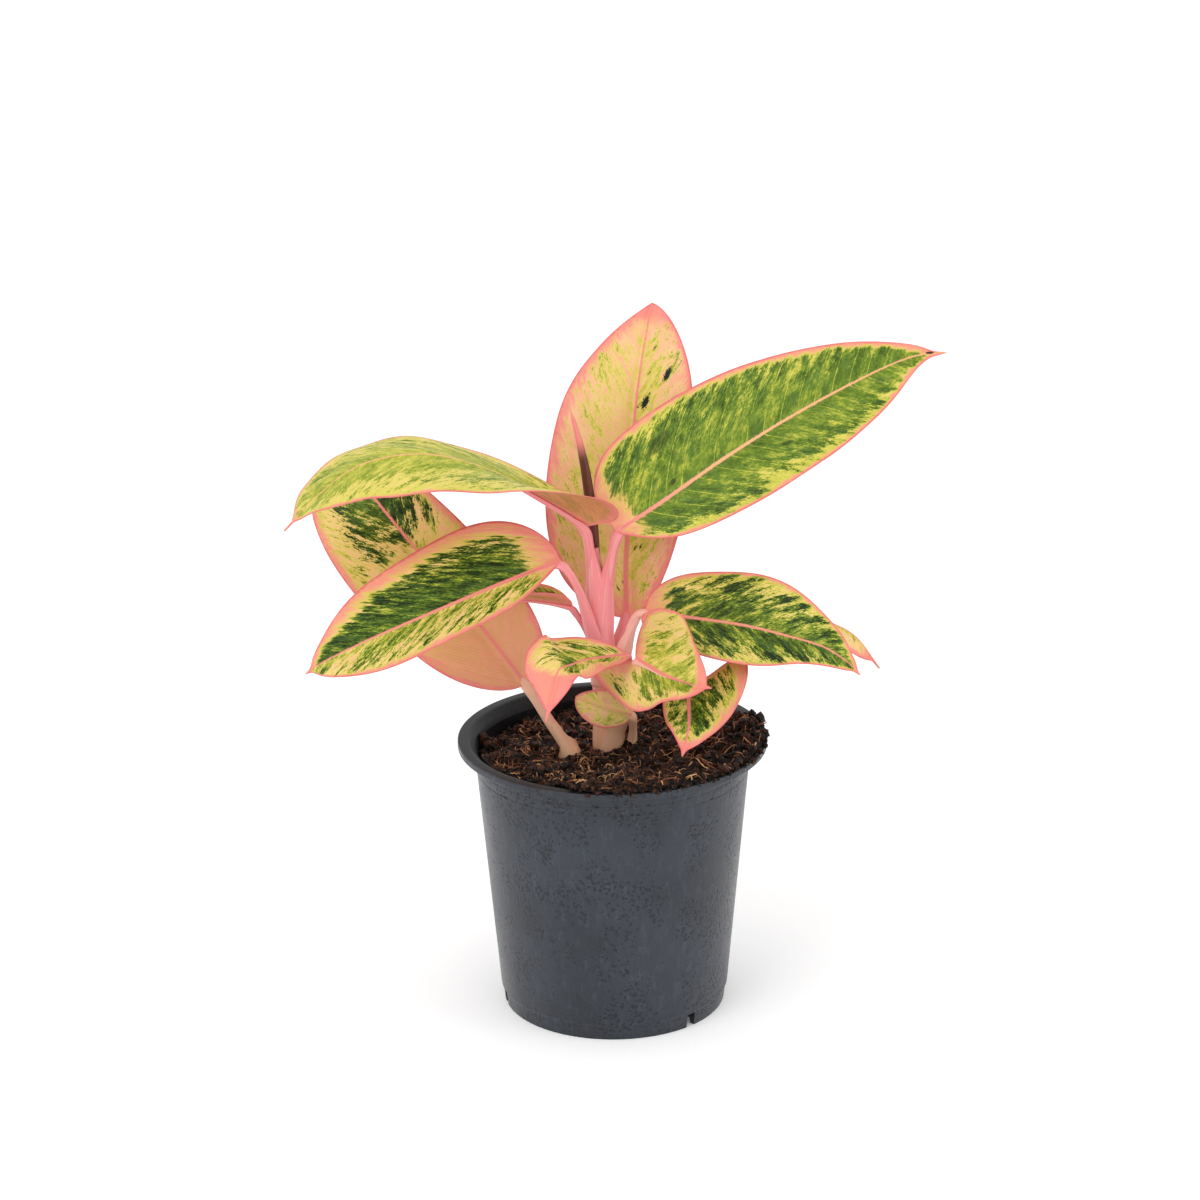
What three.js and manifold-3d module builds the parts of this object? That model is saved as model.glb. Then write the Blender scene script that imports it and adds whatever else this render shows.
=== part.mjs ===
// A potted Chinese evergreen with salmon-edged leaves, in a 12 cm nursery pot.
// Millimetres, +Z up. The origin is on the floor at the pot's axis; the plant's front faces -Y.
import * as THREE from "three";
import { mergeVertices } from "three/addons/utils/BufferGeometryUtils.js";
import Module from "manifold-3d";

const wasm = await Module();
wasm.setup();

// Pot
const POT_HEIGHT = 109;
const RIM_RADIUS = 60;
const RIM_THICKNESS = 2.6;
const RIM_EDGE = 0.4;
const RIM_INNER_RADIUS = 56.2;
const WALL_TOP_RADIUS = 53.6;
const WALL_TOP_Z = 105.4;
const WALL_FOOT_RADIUS = 44.6;
const STEP_Z = 6.6;
const STEP_DEPTH = 0.6;
const FOOT_RADIUS = 43.3;
const FOOT_WIDTH = 2.1;
const WALL = 1.2;
const BASE_RECESS = 2.4;
const FLOOR_TOP_Z = 4;
const BOSS_RADIUS = 14;
const ROUND_SEGMENTS = 48;
const NOTCH_COUNT = 3;
const NOTCH_FIRST_DEG = -47.5;
const NOTCH_WIDTH = 4;
const NOTCH_HEIGHT = 5.5;
const NOTCH_DEPTH = 6;

// Potting mix
const SOIL_LEVEL = 102;
const SOIL_SLOPE_X = 0.03;
const SOIL_SLOPE_Y = -0.03;
const SOIL_LUMP = 0.7;
const SOIL_RINGS = 6;
const SOIL_WALL_TOP_Z = 94;
const SOIL_WALL_LOW_Z = STEP_Z + 4;
const SPILL_DEG = -45;
const SPILL_RISES = [0.17, 0.45];
const SPILL_CROSSES = [0.35, 0.6];
const SPILL_REACH = 58.4;
const SPILL_HEIGHT = 5.5;
const SPILL_GROWS = [22, 48];
const SPILL_ON_RIM = 0.9;
const HEAP_DEG = 10;
const HEAP_HEIGHT = 1.6;
const HEAP_RISES = [0.7, 1];
const NEAR_DEG = -70;
const NEAR_RISES = [-0.8, 0.1];
const NEAR_SHARE = 0.55;

// Room between pieces that touch, and how finely the leaves are made
const GAP = 0.3;
const BLADE_THICKNESS = 0.8;
const LEAST_HALF_WIDTH = 0.8;
const BLADE_ROWS = 13;
const BLADE_COLUMNS = 3;
const TUBE_SIDES = 6;
const RIB_STEPS = 5;
const STALK_STEPS = 11;
const LOBE_LENGTH = 0.2;
const LOBE_START = 0.015;
const RIB_END = 0.85;
const RIB_END_RADIUS = 0.45;

const STEM = {
  path: [[-2, 8, 86], [-2, 8, 102], [-2, 8, 121], [-4, 8, 146], [-4.6, 8, 163]],
  radii: [5.6, 5.6, 5.2, 4.9, 5],
};

const SPEAR = {
  path: [
    [-4.8, 12, 163.4], [-6, 12, 180], [-7.5, 12, 197],
    [-9.5, 12, 213], [-12, 12, 226], [-15, 12, 238],
  ],
  radii: [2, 2.1, 2, 1.8, 1.3, 0.5],
};

// Each leaf: its stalk and midrib are curves through the given points, from the stem to the tip.
// face: which way its upper side looks at the base, middle and tip.
// For the halves left and right of the midrib, seen from above with the tip pointing away:
// width: half-width; widest: where along the midrib; shoulder and taper: how blunt base and tip are;
// lift: degrees above level along the midrib; curl: further turn towards the margin;
// lobe: how far the half reaches back past the stalk; wave: height, count and phase at the margin.
const LEAVES = {
  leaf_arching_left: {
    stalk: [[-7.2, 8, 163.5], [-7.6, 7, 178], [-9, 5, 193]],
    stalkRadius: 2.5,
    rib: [
      [-9, 5, 193], [-22, 2, 203], [-45, -3, 218], [-69, -10, 227],
      [-93, -16, 225], [-111, -21, 213], [-122, -24, 202],
    ],
    face: [[0.3, 0.3, 1], [0, 0, 1], [-0.3, 0, 1]],
    drip: 0.05,
    left: {
      width: 26, widest: 0.42, shoulder: 0.4, taper: 0.85,
      lift: [58, 24, -12, -20, -12, 2], lobe: 14, wave: [1, 2.5, 0.5],
    },
    right: {
      width: 24, widest: 0.55, shoulder: 0.6, taper: 0.75,
      lift: [55, 24, 0, 0, 5, 5], wave: [1.4, 2.2, 2],
    },
  },
  leaf_back_left: {
    stalk: [[-12, -3, 88], [-16, -2, 102], [-25, -1, 117], [-33, 0, 131]],
    stalkRadius: 2.7,
    rib: [
      [-33, 0, 131], [-50, 7, 152], [-75, 18, 180],
      [-92, 30, 198], [-102, 45, 205], [-108, 62, 203],
    ],
    face: [[0.2, -1, 0.3], [0, -1, 0.5], [0, -0.6, 1]],
    drip: 0.05,
    left: {
      width: 29.5, widest: 0.42, shoulder: 0.5, taper: 0.85,
      lift: [10, 5, 0], wave: [1.2, 2, 1],
    },
    right: {
      width: 21.5, widest: 0.3, shoulder: 0.5, taper: 1.3,
      lift: [20, 10, 0], lobe: 4, wave: [1.4, 2.5, 0],
    },
  },
  leaf_front_left: {
    stalk: [[-5.4, 6.4, 146], [-9.6, 1.8, 161], [-15, -2, 175], [-19, -3, 182]],
    stalkRadius: 2.1,
    rib: [
      [-19, -3, 182], [-41, -14, 177], [-66, -28, 171],
      [-91, -40, 164], [-107, -46, 158], [-114, -48, 154],
    ],
    face: [[0, -0.5, 1], [0, -0.5, 1], [0, -0.5, 1]],
    drip: 0.05,
    left: {
      width: 16.5, widest: 0.5, shoulder: 0.7, taper: 1,
      lift: [0, 0, 0], wave: [0.9, 2.5, 2],
    },
    right: {
      width: 26.5, widest: 0.3, shoulder: 0.5, taper: 1.45,
      lift: [25, 25, 25], lobe: 3, wave: [1.2, 2, 0],
    },
  },
  leaf_tall_back: {
    stalk: [[-3, 10, 120], [0, 14, 138], [6, 18, 151]],
    stalkRadius: 2.1,
    rib: [[6, 18, 151], [6, 26, 172], [8, 36, 197], [10, 46, 225], [13, 53, 246], [17, 60, 266]],
    face: [[0, -1, 0.3], [0.1, -1, 0.3], [0.1, -1, 0.4]],
    drip: 0,
    left: {
      width: 33.5, widest: 0.4, shoulder: 0.5, taper: 0.95,
      lift: [10, 5, 0], wave: [1.3, 2.2, 1],
    },
    right: {
      width: 25, widest: 0.54, shoulder: 0.4, taper: 0.64,
      lift: [10, 25, 30, 30], lobe: 3, wave: [1.2, 2.6, 3],
    },
  },
  leaf_long_right: {
    stalk: [[-1.6, 8, 163.5], [0, 6.5, 178], [2, 4, 191]],
    stalkRadius: 2.5,
    rib: [
      [2, 4, 191], [19, 8, 201], [45, 13, 218], [71, 18, 233],
      [97, 22, 246], [115, 25, 253], [128.6, 27.2, 254.2],
    ],
    face: [[-0.25, -0.85, 0.45], [-0.25, -0.85, 0.45], [-0.25, -0.85, 0.45]],
    drip: 0.04,
    left: {
      width: 31.5, widest: 0.28, shoulder: 0.5, taper: 1.4,
      lift: [10, 5, 0, 0], lobe: 5, wave: [1.2, 2.4, 0],
    },
    right: {
      width: 25, widest: 0.42, shoulder: 0.5, taper: 1.65,
      lift: [15, 15, 10], wave: [1.3, 2.1, 2.5],
    },
  },
  leaf_right: {
    stalk: [[-1, 8, 126], [5, 7, 144], [9, 7, 155], [13, 6, 158]],
    stalkRadius: 2,
    rib: [
      [13, 6, 158], [30, -2, 158], [50, -14, 159], [67, -24, 158],
      [80, -31, 156], [89, -35, 151], [93, -36, 147],
    ],
    face: [[0, -0.5, 1], [0, -0.5, 1], [0.2, -0.5, 1]],
    drip: 0.05,
    left: {
      width: 21.5, widest: 0.31, shoulder: 0.5, taper: 1.8,
      lift: [30, 25, 15], lobe: 4, wave: [1, 2.3, 1.5],
    },
    right: {
      width: 21.5, widest: 0.34, shoulder: 0.5, taper: 1.6,
      lift: [10, 5, 0], lobe: 3, wave: [1.1, 2, 0],
    },
  },
  leaf_curled_centre: {
    stalk: [[0, 5, 112], [8, -2, 128], [9, -14, 146]],
    stalkRadius: 1.9,
    rib: [
      [9, -14, 146], [14, -21, 145.5], [19, -28, 145],
      [25, -35, 145], [30, -41, 145.5], [37, -46, 146],
    ],
    face: [[0, -0.35, 1], [0, -0.35, 1], [0, -0.3, 1]],
    drip: 0.05,
    left: {
      width: 30, widest: 0.51, shoulder: 0.42, taper: 0.64,
      lift: [40, 45, 52, 58], curl: [85, 75, 50, 25], wave: [0.8, 1.5, 0],
    },
    right: {
      width: 17.5, widest: 0.34, shoulder: 0.5, taper: 0.8,
      lift: [-58, -36, -16, -12], lobe: 33, wave: [0.6, 1.6, 1],
    },
  },
  leaf_drooping_left: {
    stalk: [[0, 5, 120], [5, 0, 134], [7, -9, 146]],
    stalkRadius: 1.8,
    rib: [
      [7, -9, 146], [0, -14, 147], [-9, -20, 148], [-15, -28, 149],
      [-20, -34, 149], [-22, -40, 144], [-25, -46, 133],
    ],
    face: [[0, -0.4, 1], [0, -0.4, 1], [-0.4, -1, 0.4]],
    drip: 0.05,
    left: {
      width: 11.5, widest: 0.5, shoulder: 0.7, taper: 0.85,
      lift: [10, 10, 0], wave: [0.8, 1.5, 0],
    },
    right: {
      width: 15, widest: 0.55, shoulder: 0.7, taper: 0.85,
      lift: [10, 20, 0], wave: [1.2, 1.5, 2],
    },
  },
  leaf_low_front: {
    stalk: [[8, 8, 90], [8, 6, 102], [8, 2, 111], [8, -4, 119]],
    stalkRadius: 2,
    rib: [[8, -4, 119], [1, -8, 123], [-6, -11, 126.5], [-14, -12, 130]],
    face: [[-0.3, -1, 0.6], [-0.3, -1, 0.6], [-0.3, -1, 0.6]],
    drip: 0,
    left: { width: 8.2, widest: 0.52, shoulder: 0.5, taper: 0.55, lift: [-10, -10] },
    right: { width: 7, widest: 0.42, shoulder: 0.5, taper: 0.7, lift: [10, 10] },
  },
  leaf_drooping_right: {
    stalk: [[0, 9, 112], [10, 6, 122], [20, -6, 133], [29, -20, 137]],
    stalkRadius: 1.9,
    rib: [[29, -20, 137], [29, -26, 134], [29, -33, 128], [28, -38, 123], [26, -42, 117]],
    face: [[0, -0.7, 0.7], [0, -0.8, 0.5], [0, -1, 0.3]],
    drip: 0.06,
    left: {
      width: 25, widest: 0.2, shoulder: 0.5, taper: 1.2,
      lift: [25, 25, 10], lobe: 9, wave: [1.2, 1.5, 1],
    },
    right: {
      width: 10, widest: 0.35, shoulder: 0.5, taper: 1,
      lift: [0, 0, 0], wave: [0.7, 1.5, 0],
    },
  },
  leaf_far_right: {
    stalk: [[1, 9, 119], [10, 12, 134], [20, 12, 149]],
    stalkRadius: 1.8,
    rib: [
      [20, 12, 149], [44, 20, 149], [66, 25, 148],
      [82, 25, 146.5], [94.5, 20, 142], [104, 13, 131],
    ],
    face: [[0, -0.1, 1], [0, 0, 1], [0.5, -0.5, 1]],
    drip: 0.05,
    left: {
      width: 14, widest: 0.4, shoulder: 0.5, taper: 1.4,
      lift: [0, -15, -55], wave: [1, 2, 0],
    },
    right: {
      width: 14, widest: 0.6, shoulder: 0.5, taper: 0.6,
      lift: [0, 0, 0], wave: [1.1, 2.3, 2],
    },
  },
  leaf_small_left: {
    stalk: [[-3, 8, 130], [-9, 8, 148], [-15, 4, 161]],
    stalkRadius: 1.6,
    rib: [[-15, 4, 161], [-25, 1, 164], [-37, -2, 166], [-47, -6, 165]],
    face: [[0, 0.2, 1], [0, 0.2, 1], [0, 0.2, 1]],
    drip: 0.05,
    left: { width: 7, widest: 0.42, shoulder: 0.5, taper: 0.85, lift: [40, 35, 20] },
    right: { width: 8, widest: 0.42, shoulder: 0.5, taper: 0.85, lift: [50, 50, 30] },
  },
};

const plastic = new THREE.MeshStandardMaterial({ color: 0x3d434b, roughness: 0.5, metalness: 0 });
const peat = new THREE.MeshStandardMaterial({ color: 0x2a1a12, roughness: 1, metalness: 0 });
const stemSkin = new THREE.MeshStandardMaterial({ color: 0xea8f92, roughness: 0.45, metalness: 0 });
const spearSkin = new THREE.MeshStandardMaterial({ color: 0x4a2320, roughness: 0.5, metalness: 0 });
const leafSkin = new THREE.MeshStandardMaterial({ color: 0x9db050, roughness: 0.45, metalness: 0 });

const vector = ([x, y, z]) => new THREE.Vector3(x, y, z);
const smoothCurve = (points) => new THREE.CatmullRomCurve3(points, false, "catmullrom", 0.5);
const curveThrough = (points) => smoothCurve(points.map(vector));
const smoothValue = (values, t) => smoothCurve(values.map((v) => new THREE.Vector3(v, 0, 0))).getPoint(t).x;

// A closed solid from rings with the same number of points; each end is closed by fanning to its middle.
function loft(rings) {
  const sides = rings[0].length;
  const middle = (ring) => ring.reduce((sum, p) => sum.add(p), new THREE.Vector3()).divideScalar(sides);
  const points = rings.flat();
  points.push(middle(rings[0]), middle(rings.at(-1)));
  const first = points.length - 2;
  const last = points.length - 1;
  const index = [];
  for (let row = 0; row < rings.length - 1; row++) {
    for (let side = 0; side < sides; side++) {
      const a = row * sides + side;
      const b = row * sides + ((side + 1) % sides);
      index.push(a, b, b + sides, a, b + sides, a + sides);
    }
  }
  const end = (rings.length - 1) * sides;
  for (let side = 0; side < sides; side++) {
    const next = (side + 1) % sides;
    index.push(first, next, side);
    index.push(last, end + side, end + next);
  }
  return fromPoints(points, index);
}

function fromPoints(points, index) {
  const geometry = new THREE.BufferGeometry().setFromPoints(points);
  geometry.setIndex(index);
  return geometry;
}

function solid(geometry) {
  const bare = geometry.clone();
  bare.deleteAttribute("normal");
  bare.deleteAttribute("uv");
  const merged = mergeVertices(bare, 1e-3);
  return new wasm.Manifold(
    new wasm.Mesh({
      numProp: 3,
      vertProperties: merged.attributes.position.array,
      triVerts: new Uint32Array(merged.index.array),
    }),
  );
}

// The largest body of a solid, as a mesh; a cut can leave a loose scrap behind.
function meshOf(name, cut, material) {
  const bodies = cut.decompose();
  const body = bodies.reduce((best, each) => (each.volume() > best.volume() ? each : best));
  const data = body.getMesh();
  const geometry = new THREE.BufferGeometry();
  geometry.setAttribute("position", new THREE.BufferAttribute(new Float32Array(data.vertProperties), 3));
  geometry.setIndex(new THREE.BufferAttribute(new Uint32Array(data.triVerts), 1));
  geometry.computeVertexNormals();
  const mesh = new THREE.Mesh(geometry, material);
  mesh.name = name;
  return mesh;
}

// A round tube along a curve whose radius changes; radiusAt takes 0 at the start to 1 at the end.
function taperedTube(curve, steps, radiusAt) {
  const frames = curve.computeFrenetFrames(steps, false);
  const rings = [];
  for (let i = 0; i <= steps; i++) {
    const centre = curve.getPointAt(i / steps);
    const ring = [];
    for (let side = 0; side < TUBE_SIDES; side++) {
      const angle = (2 * Math.PI * side) / TUBE_SIDES;
      const out = frames.normals[i].clone().multiplyScalar(Math.cos(angle));
      out.addScaledVector(frames.binormals[i], Math.sin(angle));
      ring.push(out.multiplyScalar(radiusAt(i / steps)).add(centre));
    }
    rings.push(ring);
  }
  return loft(rings);
}

function stemSolid(extra) {
  const radius = (t) => smoothValue(STEM.radii, t) + extra;
  return solid(taperedTube(curveThrough(STEM.path), 12, radius));
}

function spearSolid() {
  return solid(taperedTube(curveThrough(SPEAR.path), 14, (t) => smoothValue(SPEAR.radii, t)));
}

// Half-width of one side at t, 0 at the stalk and 1 at the tip.
function halfWidth(half, drip, t) {
  const peak = half.shoulder / (half.shoulder + half.taper);
  const s = Math.min(t / (1 - drip), 1) ** (Math.log(peak) / Math.log(half.widest));
  const body = (s / peak) ** half.shoulder * ((1 - s) / (1 - peak)) ** half.taper;
  return Math.hypot(half.width * body, LEAST_HALF_WIDTH);
}

// The leaf's own directions at t: along the midrib, up from its face, and towards its left margin.
function leafFrame(leaf, t) {
  const along = leaf.ribCurve.getTangent(t);
  const up = leaf.faceCurve.getPoint(t);
  up.addScaledVector(along, -up.dot(along)).normalize();
  return { along, up, left: up.clone().cross(along) };
}

// The blade's middle surface at t along the midrib and v across, 0 at the midrib and 1 at the margin.
function bladePoint(leaf, side, t, v) {
  const half = leaf[side];
  const { along, up, left } = leafFrame(leaf, t);
  const width = halfWidth(half, leaf.drip, t);
  const lift = THREE.MathUtils.degToRad(smoothValue(half.lift, t));
  const curl = THREE.MathUtils.degToRad(smoothValue(half.curl ?? [0, 0], t)) || 1e-4;
  const out = (width * (Math.sin(lift + curl * v) - Math.sin(lift))) / curl;
  const [height, count, phase] = half.wave ?? [0, 0, 0];
  const wave = height * v * v * Math.sin(2 * Math.PI * count * t + phase) * (width / half.width);
  const rise = (width * (Math.cos(lift) - Math.cos(lift + curl * v))) / curl + wave;
  const back = (half.lobe ?? 0) * v * v * Math.exp(-((t / LOBE_LENGTH) ** 2)) * (t / (t + LOBE_START));
  const point = leaf.ribCurve.getPoint(t);
  point.addScaledVector(left, side === "left" ? out : -out);
  point.addScaledVector(up, rise);
  return point.addScaledVector(along, -back);
}

// Rows of the blade's middle surface, each from the left margin to the right one.
function bladeRows(leaf) {
  const rows = [];
  for (let i = 0; i <= BLADE_ROWS; i++) {
    const even = i / BLADE_ROWS;
    const t = (even + (1 - Math.cos(Math.PI * even)) / 2) / 2;
    const row = [];
    for (let k = -BLADE_COLUMNS; k <= BLADE_COLUMNS; k++) {
      row.push(bladePoint(leaf, k < 0 ? "left" : "right", t, Math.abs(k) / BLADE_COLUMNS));
    }
    rows.push(row);
  }
  return rows;
}

// The upward normal of the surface at a grid point, from its neighbours.
function rowNormal(rows, i, k) {
  const ahead = rows[Math.min(i + 1, rows.length - 1)][k];
  const behind = rows[Math.max(i - 1, 0)][k];
  const right = rows[i][Math.min(k + 1, rows[i].length - 1)];
  const left = rows[i][Math.max(k - 1, 0)];
  const across = right.clone().sub(left);
  return across.cross(ahead.clone().sub(behind)).normalize();
}

// The blade: its middle surface thickened alike both ways, with the same triangles on both faces.
function bladeSolid(leaf) {
  const rows = bladeRows(leaf);
  const offset = (amount) =>
    rows.map((row, i) => row.map((p, k) => p.clone().addScaledVector(rowNormal(rows, i, k), amount)));
  const points = [...offset(BLADE_THICKNESS / 2).flat(), ...offset(-BLADE_THICKNESS / 2).flat()];
  const columns = rows[0].length;
  const under = rows.length * columns;
  const index = [];
  const quad = (a, b, c, d) => index.push(a, b, c, a, c, d);
  for (let i = 0; i < rows.length - 1; i++) {
    for (let k = 0; k < columns - 1; k++) {
      const a = i * columns + k;
      quad(a, a + 1, a + columns + 1, a + columns);
      index.push(under + a, under + a + columns + 1, under + a + 1);
      index.push(under + a, under + a + columns, under + a + columns + 1);
    }
    const left = i * columns;
    const right = left + columns - 1;
    quad(left, left + columns, under + left + columns, under + left);
    quad(right, under + right, under + right + columns, right + columns);
  }
  const tip = (rows.length - 1) * columns;
  for (let k = 0; k < columns - 1; k++) {
    quad(k, under + k, under + k + 1, k + 1);
    quad(tip + k, tip + k + 1, under + tip + k + 1, under + tip + k);
  }
  return solid(fromPoints(points, index));
}

// The stalk and the midrib that carries on from it under the blade, as one tapering tube.
function stalkSolid(leaf) {
  const radiusOnRib = (t) => THREE.MathUtils.lerp(0.75 * leaf.stalkRadius, RIB_END_RADIUS, t / RIB_END);
  const points = leaf.stalk.slice(0, -1).map(vector);
  for (let i = 0; i <= RIB_STEPS; i++) {
    const t = (RIB_END * i) / RIB_STEPS;
    const { up } = leafFrame(leaf, t);
    points.push(leaf.ribCurve.getPoint(t).addScaledVector(up, -radiusOnRib(t)));
  }
  const curve = smoothCurve(points);
  const stalkEnd = curveThrough(leaf.stalk).getLength() / curve.getLength();
  const radius = (u) =>
    u < stalkEnd
      ? THREE.MathUtils.lerp(leaf.stalkRadius, 0.75 * leaf.stalkRadius, u / stalkEnd)
      : radiusOnRib((RIB_END * (u - stalkEnd)) / (1 - stalkEnd));
  return solid(taperedTube(curve, STALK_STEPS, radius));
}

function leafSolid(leaf) {
  leaf.ribCurve = curveThrough(leaf.rib);
  leaf.faceCurve = curveThrough(leaf.face);
  return bladeSolid(leaf).add(stalkSolid(leaf));
}

// The pot's outline, from the middle of its underside round the outside to the middle of its floor.
function potProfile() {
  const underRim = POT_HEIGHT - RIM_THICKNESS;
  return [
    [0, 0],
    [BOSS_RADIUS, 0],
    [BOSS_RADIUS + 0.6, BASE_RECESS],
    [FOOT_RADIUS - FOOT_WIDTH - 0.6, BASE_RECESS],
    [FOOT_RADIUS - FOOT_WIDTH, 0],
    [FOOT_RADIUS, 0],
    [WALL_FOOT_RADIUS - STEP_DEPTH, STEP_Z - STEP_DEPTH],
    [WALL_FOOT_RADIUS, STEP_Z],
    [WALL_TOP_RADIUS, WALL_TOP_Z],
    [WALL_TOP_RADIUS + 2, underRim],
    [RIM_RADIUS - RIM_EDGE, underRim],
    [RIM_RADIUS, underRim + RIM_EDGE],
    [RIM_RADIUS, POT_HEIGHT - RIM_EDGE],
    [RIM_RADIUS - RIM_EDGE, POT_HEIGHT],
    [RIM_INNER_RADIUS, POT_HEIGHT],
    [RIM_INNER_RADIUS - 0.8, POT_HEIGHT - 0.3],
    [WALL_TOP_RADIUS - 0.4, underRim - 0.2],
    [WALL_TOP_RADIUS - WALL, WALL_TOP_Z - 0.9],
    [WALL_FOOT_RADIUS - WALL, STEP_Z + 1.4],
    [FOOT_RADIUS - 0.6, FLOOR_TOP_Z],
    [0, FLOOR_TOP_Z],
  ];
}

function potSolid() {
  const outline = potProfile().map(([r, z]) => new THREE.Vector2(r, z));
  const shell = new THREE.LatheGeometry(outline, ROUND_SEGMENTS).rotateX(Math.PI / 2);
  let pot = solid(shell);
  for (let i = 0; i < NOTCH_COUNT; i++) {
    const notch = new THREE.BoxGeometry(NOTCH_DEPTH, NOTCH_WIDTH, 2 * NOTCH_HEIGHT);
    notch.translate(FOOT_RADIUS, 0, 0);
    notch.rotateZ(THREE.MathUtils.degToRad(NOTCH_FIRST_DEG + (360 * i) / NOTCH_COUNT));
    pot = pot.subtract(solid(notch));
  }
  return pot;
}

// The top of the potting mix: a tilt down to the back left, and low lumps.
function soilHeight(x, y) {
  const lumps = Math.sin(0.31 * x + 1) * Math.cos(0.27 * y) + 0.6 * Math.sin(0.17 * x - 0.23 * y);
  return SOIL_LEVEL + SOIL_SLOPE_X * x + SOIL_SLOPE_Y * y + SOIL_LUMP * lumps;
}

// The potting mix fills the pot. At the front and right it is heaped over the rim.
function soilBody() {
  const wallAt = (z) => {
    const share = (z - STEP_Z) / (WALL_TOP_Z - STEP_Z);
    return THREE.MathUtils.lerp(WALL_FOOT_RADIUS, WALL_TOP_RADIUS, share) - WALL - 1.5 * GAP;
  };
  const rings = [];
  const addRing = (placeAt) => {
    const ring = [];
    for (let side = 0; side < ROUND_SEGMENTS; side++) {
      const angle = (2 * Math.PI * side) / ROUND_SEGMENTS;
      const away = Math.cos(angle - THREE.MathUtils.degToRad(SPILL_DEG));
      const beside = Math.cos(angle - THREE.MathUtils.degToRad(HEAP_DEG));
      const heap = HEAP_HEIGHT * THREE.MathUtils.smoothstep(beside, ...HEAP_RISES);
      const edge = wallAt(SOIL_LEVEL) - 1;
      const edgeZ = soilHeight(edge * Math.cos(angle), edge * Math.sin(angle)) - 1;
      const toNear = Math.cos(angle - THREE.MathUtils.degToRad(NEAR_DEG));
      const near = NEAR_SHARE * THREE.MathUtils.smoothstep(toNear, ...NEAR_RISES);
      const up = near + (1 - near) * THREE.MathUtils.smoothstep(away, ...SPILL_RISES);
      const out = THREE.MathUtils.smoothstep(away, ...SPILL_CROSSES);
      const [r, z] = placeAt({ up, out, heap, edgeZ, edge, angle });
      ring.push(new THREE.Vector3(r * Math.cos(angle), r * Math.sin(angle), z));
    }
    rings.push(ring);
  };
  const mix = THREE.MathUtils.lerp;
  const rimTop = POT_HEIGHT + GAP;
  addRing(() => [wallAt(FLOOR_TOP_Z) - 0.6, FLOOR_TOP_Z + GAP]);
  addRing(() => [wallAt(SOIL_WALL_LOW_Z), SOIL_WALL_LOW_Z]);
  addRing(() => [wallAt(SOIL_WALL_TOP_Z), SOIL_WALL_TOP_Z]);
  addRing(({ up, out, edgeZ }) => [
    mix(wallAt(edgeZ - 2), WALL_TOP_RADIUS - 1.6, out),
    mix(edgeZ - 2, WALL_TOP_Z, up),
  ]);
  addRing(({ up, out, edgeZ }) => [
    mix(wallAt(edgeZ - 1.3), RIM_INNER_RADIUS - 1.4, out),
    mix(edgeZ - 1.3, rimTop, up),
  ]);
  addRing(({ up, out, edgeZ }) => [
    mix(wallAt(edgeZ - 0.6), SPILL_REACH, out),
    mix(edgeZ - 0.6, rimTop + 0.2, up),
  ]);
  addRing(({ up, out, heap, edgeZ, edge }) => [
    mix(edge + 0.3, SPILL_REACH - 0.6, out),
    mix(edgeZ, rimTop + SPILL_ON_RIM + heap, up),
  ]);
  for (let k = SOIL_RINGS; k >= 1; k--) {
    addRing(({ up, heap, edge, angle }) => {
      const r = ((edge - 2) * k) / SOIL_RINGS;
      const raised = (SPILL_HEIGHT + heap) * up * THREE.MathUtils.smoothstep(r, ...SPILL_GROWS);
      return [r, soilHeight(r * Math.cos(angle), r * Math.sin(angle)) + raised];
    });
  }
  return solid(loft(rings));
}

function buildPlant() {
  const plant = new THREE.Group();
  const grownStem = stemSolid(GAP);
  let soil = soilBody().subtract(grownStem);
  plant.add(meshOf("pot", potSolid(), plastic));
  plant.add(meshOf("main_stem", stemSolid(0), stemSkin));
  plant.add(meshOf("new_leaf_spear", spearSolid(), spearSkin));
  for (const [name, leaf] of Object.entries(LEAVES)) {
    plant.add(meshOf(name, leafSolid(leaf).subtract(grownStem), leafSkin));
    if (leaf.stalk[0][2] < SOIL_LEVEL) {
      const hole = { ...leaf, stalkRadius: leaf.stalkRadius + 1.4 * GAP };
      soil = soil.subtract(stalkSolid(hole));
    }
  }
  plant.add(meshOf("potting_mix", soil, peat));
  return plant;
}

export default buildPlant();
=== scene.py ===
"""A potted Chinese evergreen with salmon-edged leaves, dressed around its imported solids.

Blender works in metres, +Z up, front towards -Y. Tables and formulas here are in millimetres.
"""

import math
from dataclasses import dataclass

import bmesh
import bpy
import numpy as np
from mathutils import Matrix


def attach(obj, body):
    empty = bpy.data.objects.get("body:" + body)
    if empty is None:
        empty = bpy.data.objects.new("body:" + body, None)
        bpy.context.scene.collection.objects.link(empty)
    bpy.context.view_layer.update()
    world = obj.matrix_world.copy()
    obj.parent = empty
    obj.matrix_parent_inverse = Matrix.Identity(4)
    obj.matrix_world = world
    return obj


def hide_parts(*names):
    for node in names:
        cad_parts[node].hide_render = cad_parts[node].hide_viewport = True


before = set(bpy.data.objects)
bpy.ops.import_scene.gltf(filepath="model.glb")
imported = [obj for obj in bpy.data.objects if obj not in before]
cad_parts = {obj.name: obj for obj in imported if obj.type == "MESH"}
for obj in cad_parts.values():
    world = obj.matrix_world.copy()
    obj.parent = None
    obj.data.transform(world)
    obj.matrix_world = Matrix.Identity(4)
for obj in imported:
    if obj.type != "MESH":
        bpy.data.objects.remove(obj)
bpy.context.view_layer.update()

MM = 0.001
BODY = "root"

# Camera: the photograph's viewpoint
CAMERA_TARGET = (-4.3, 0.0, 165.0)
CAMERA_DISTANCE = 1500.0
CAMERA_ELEVATION_DEG = 19.6
CAMERA_ROLL_DEG = -0.55
CAMERA_LENS = 117.6
CAMERA_SENSOR = 36

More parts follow.
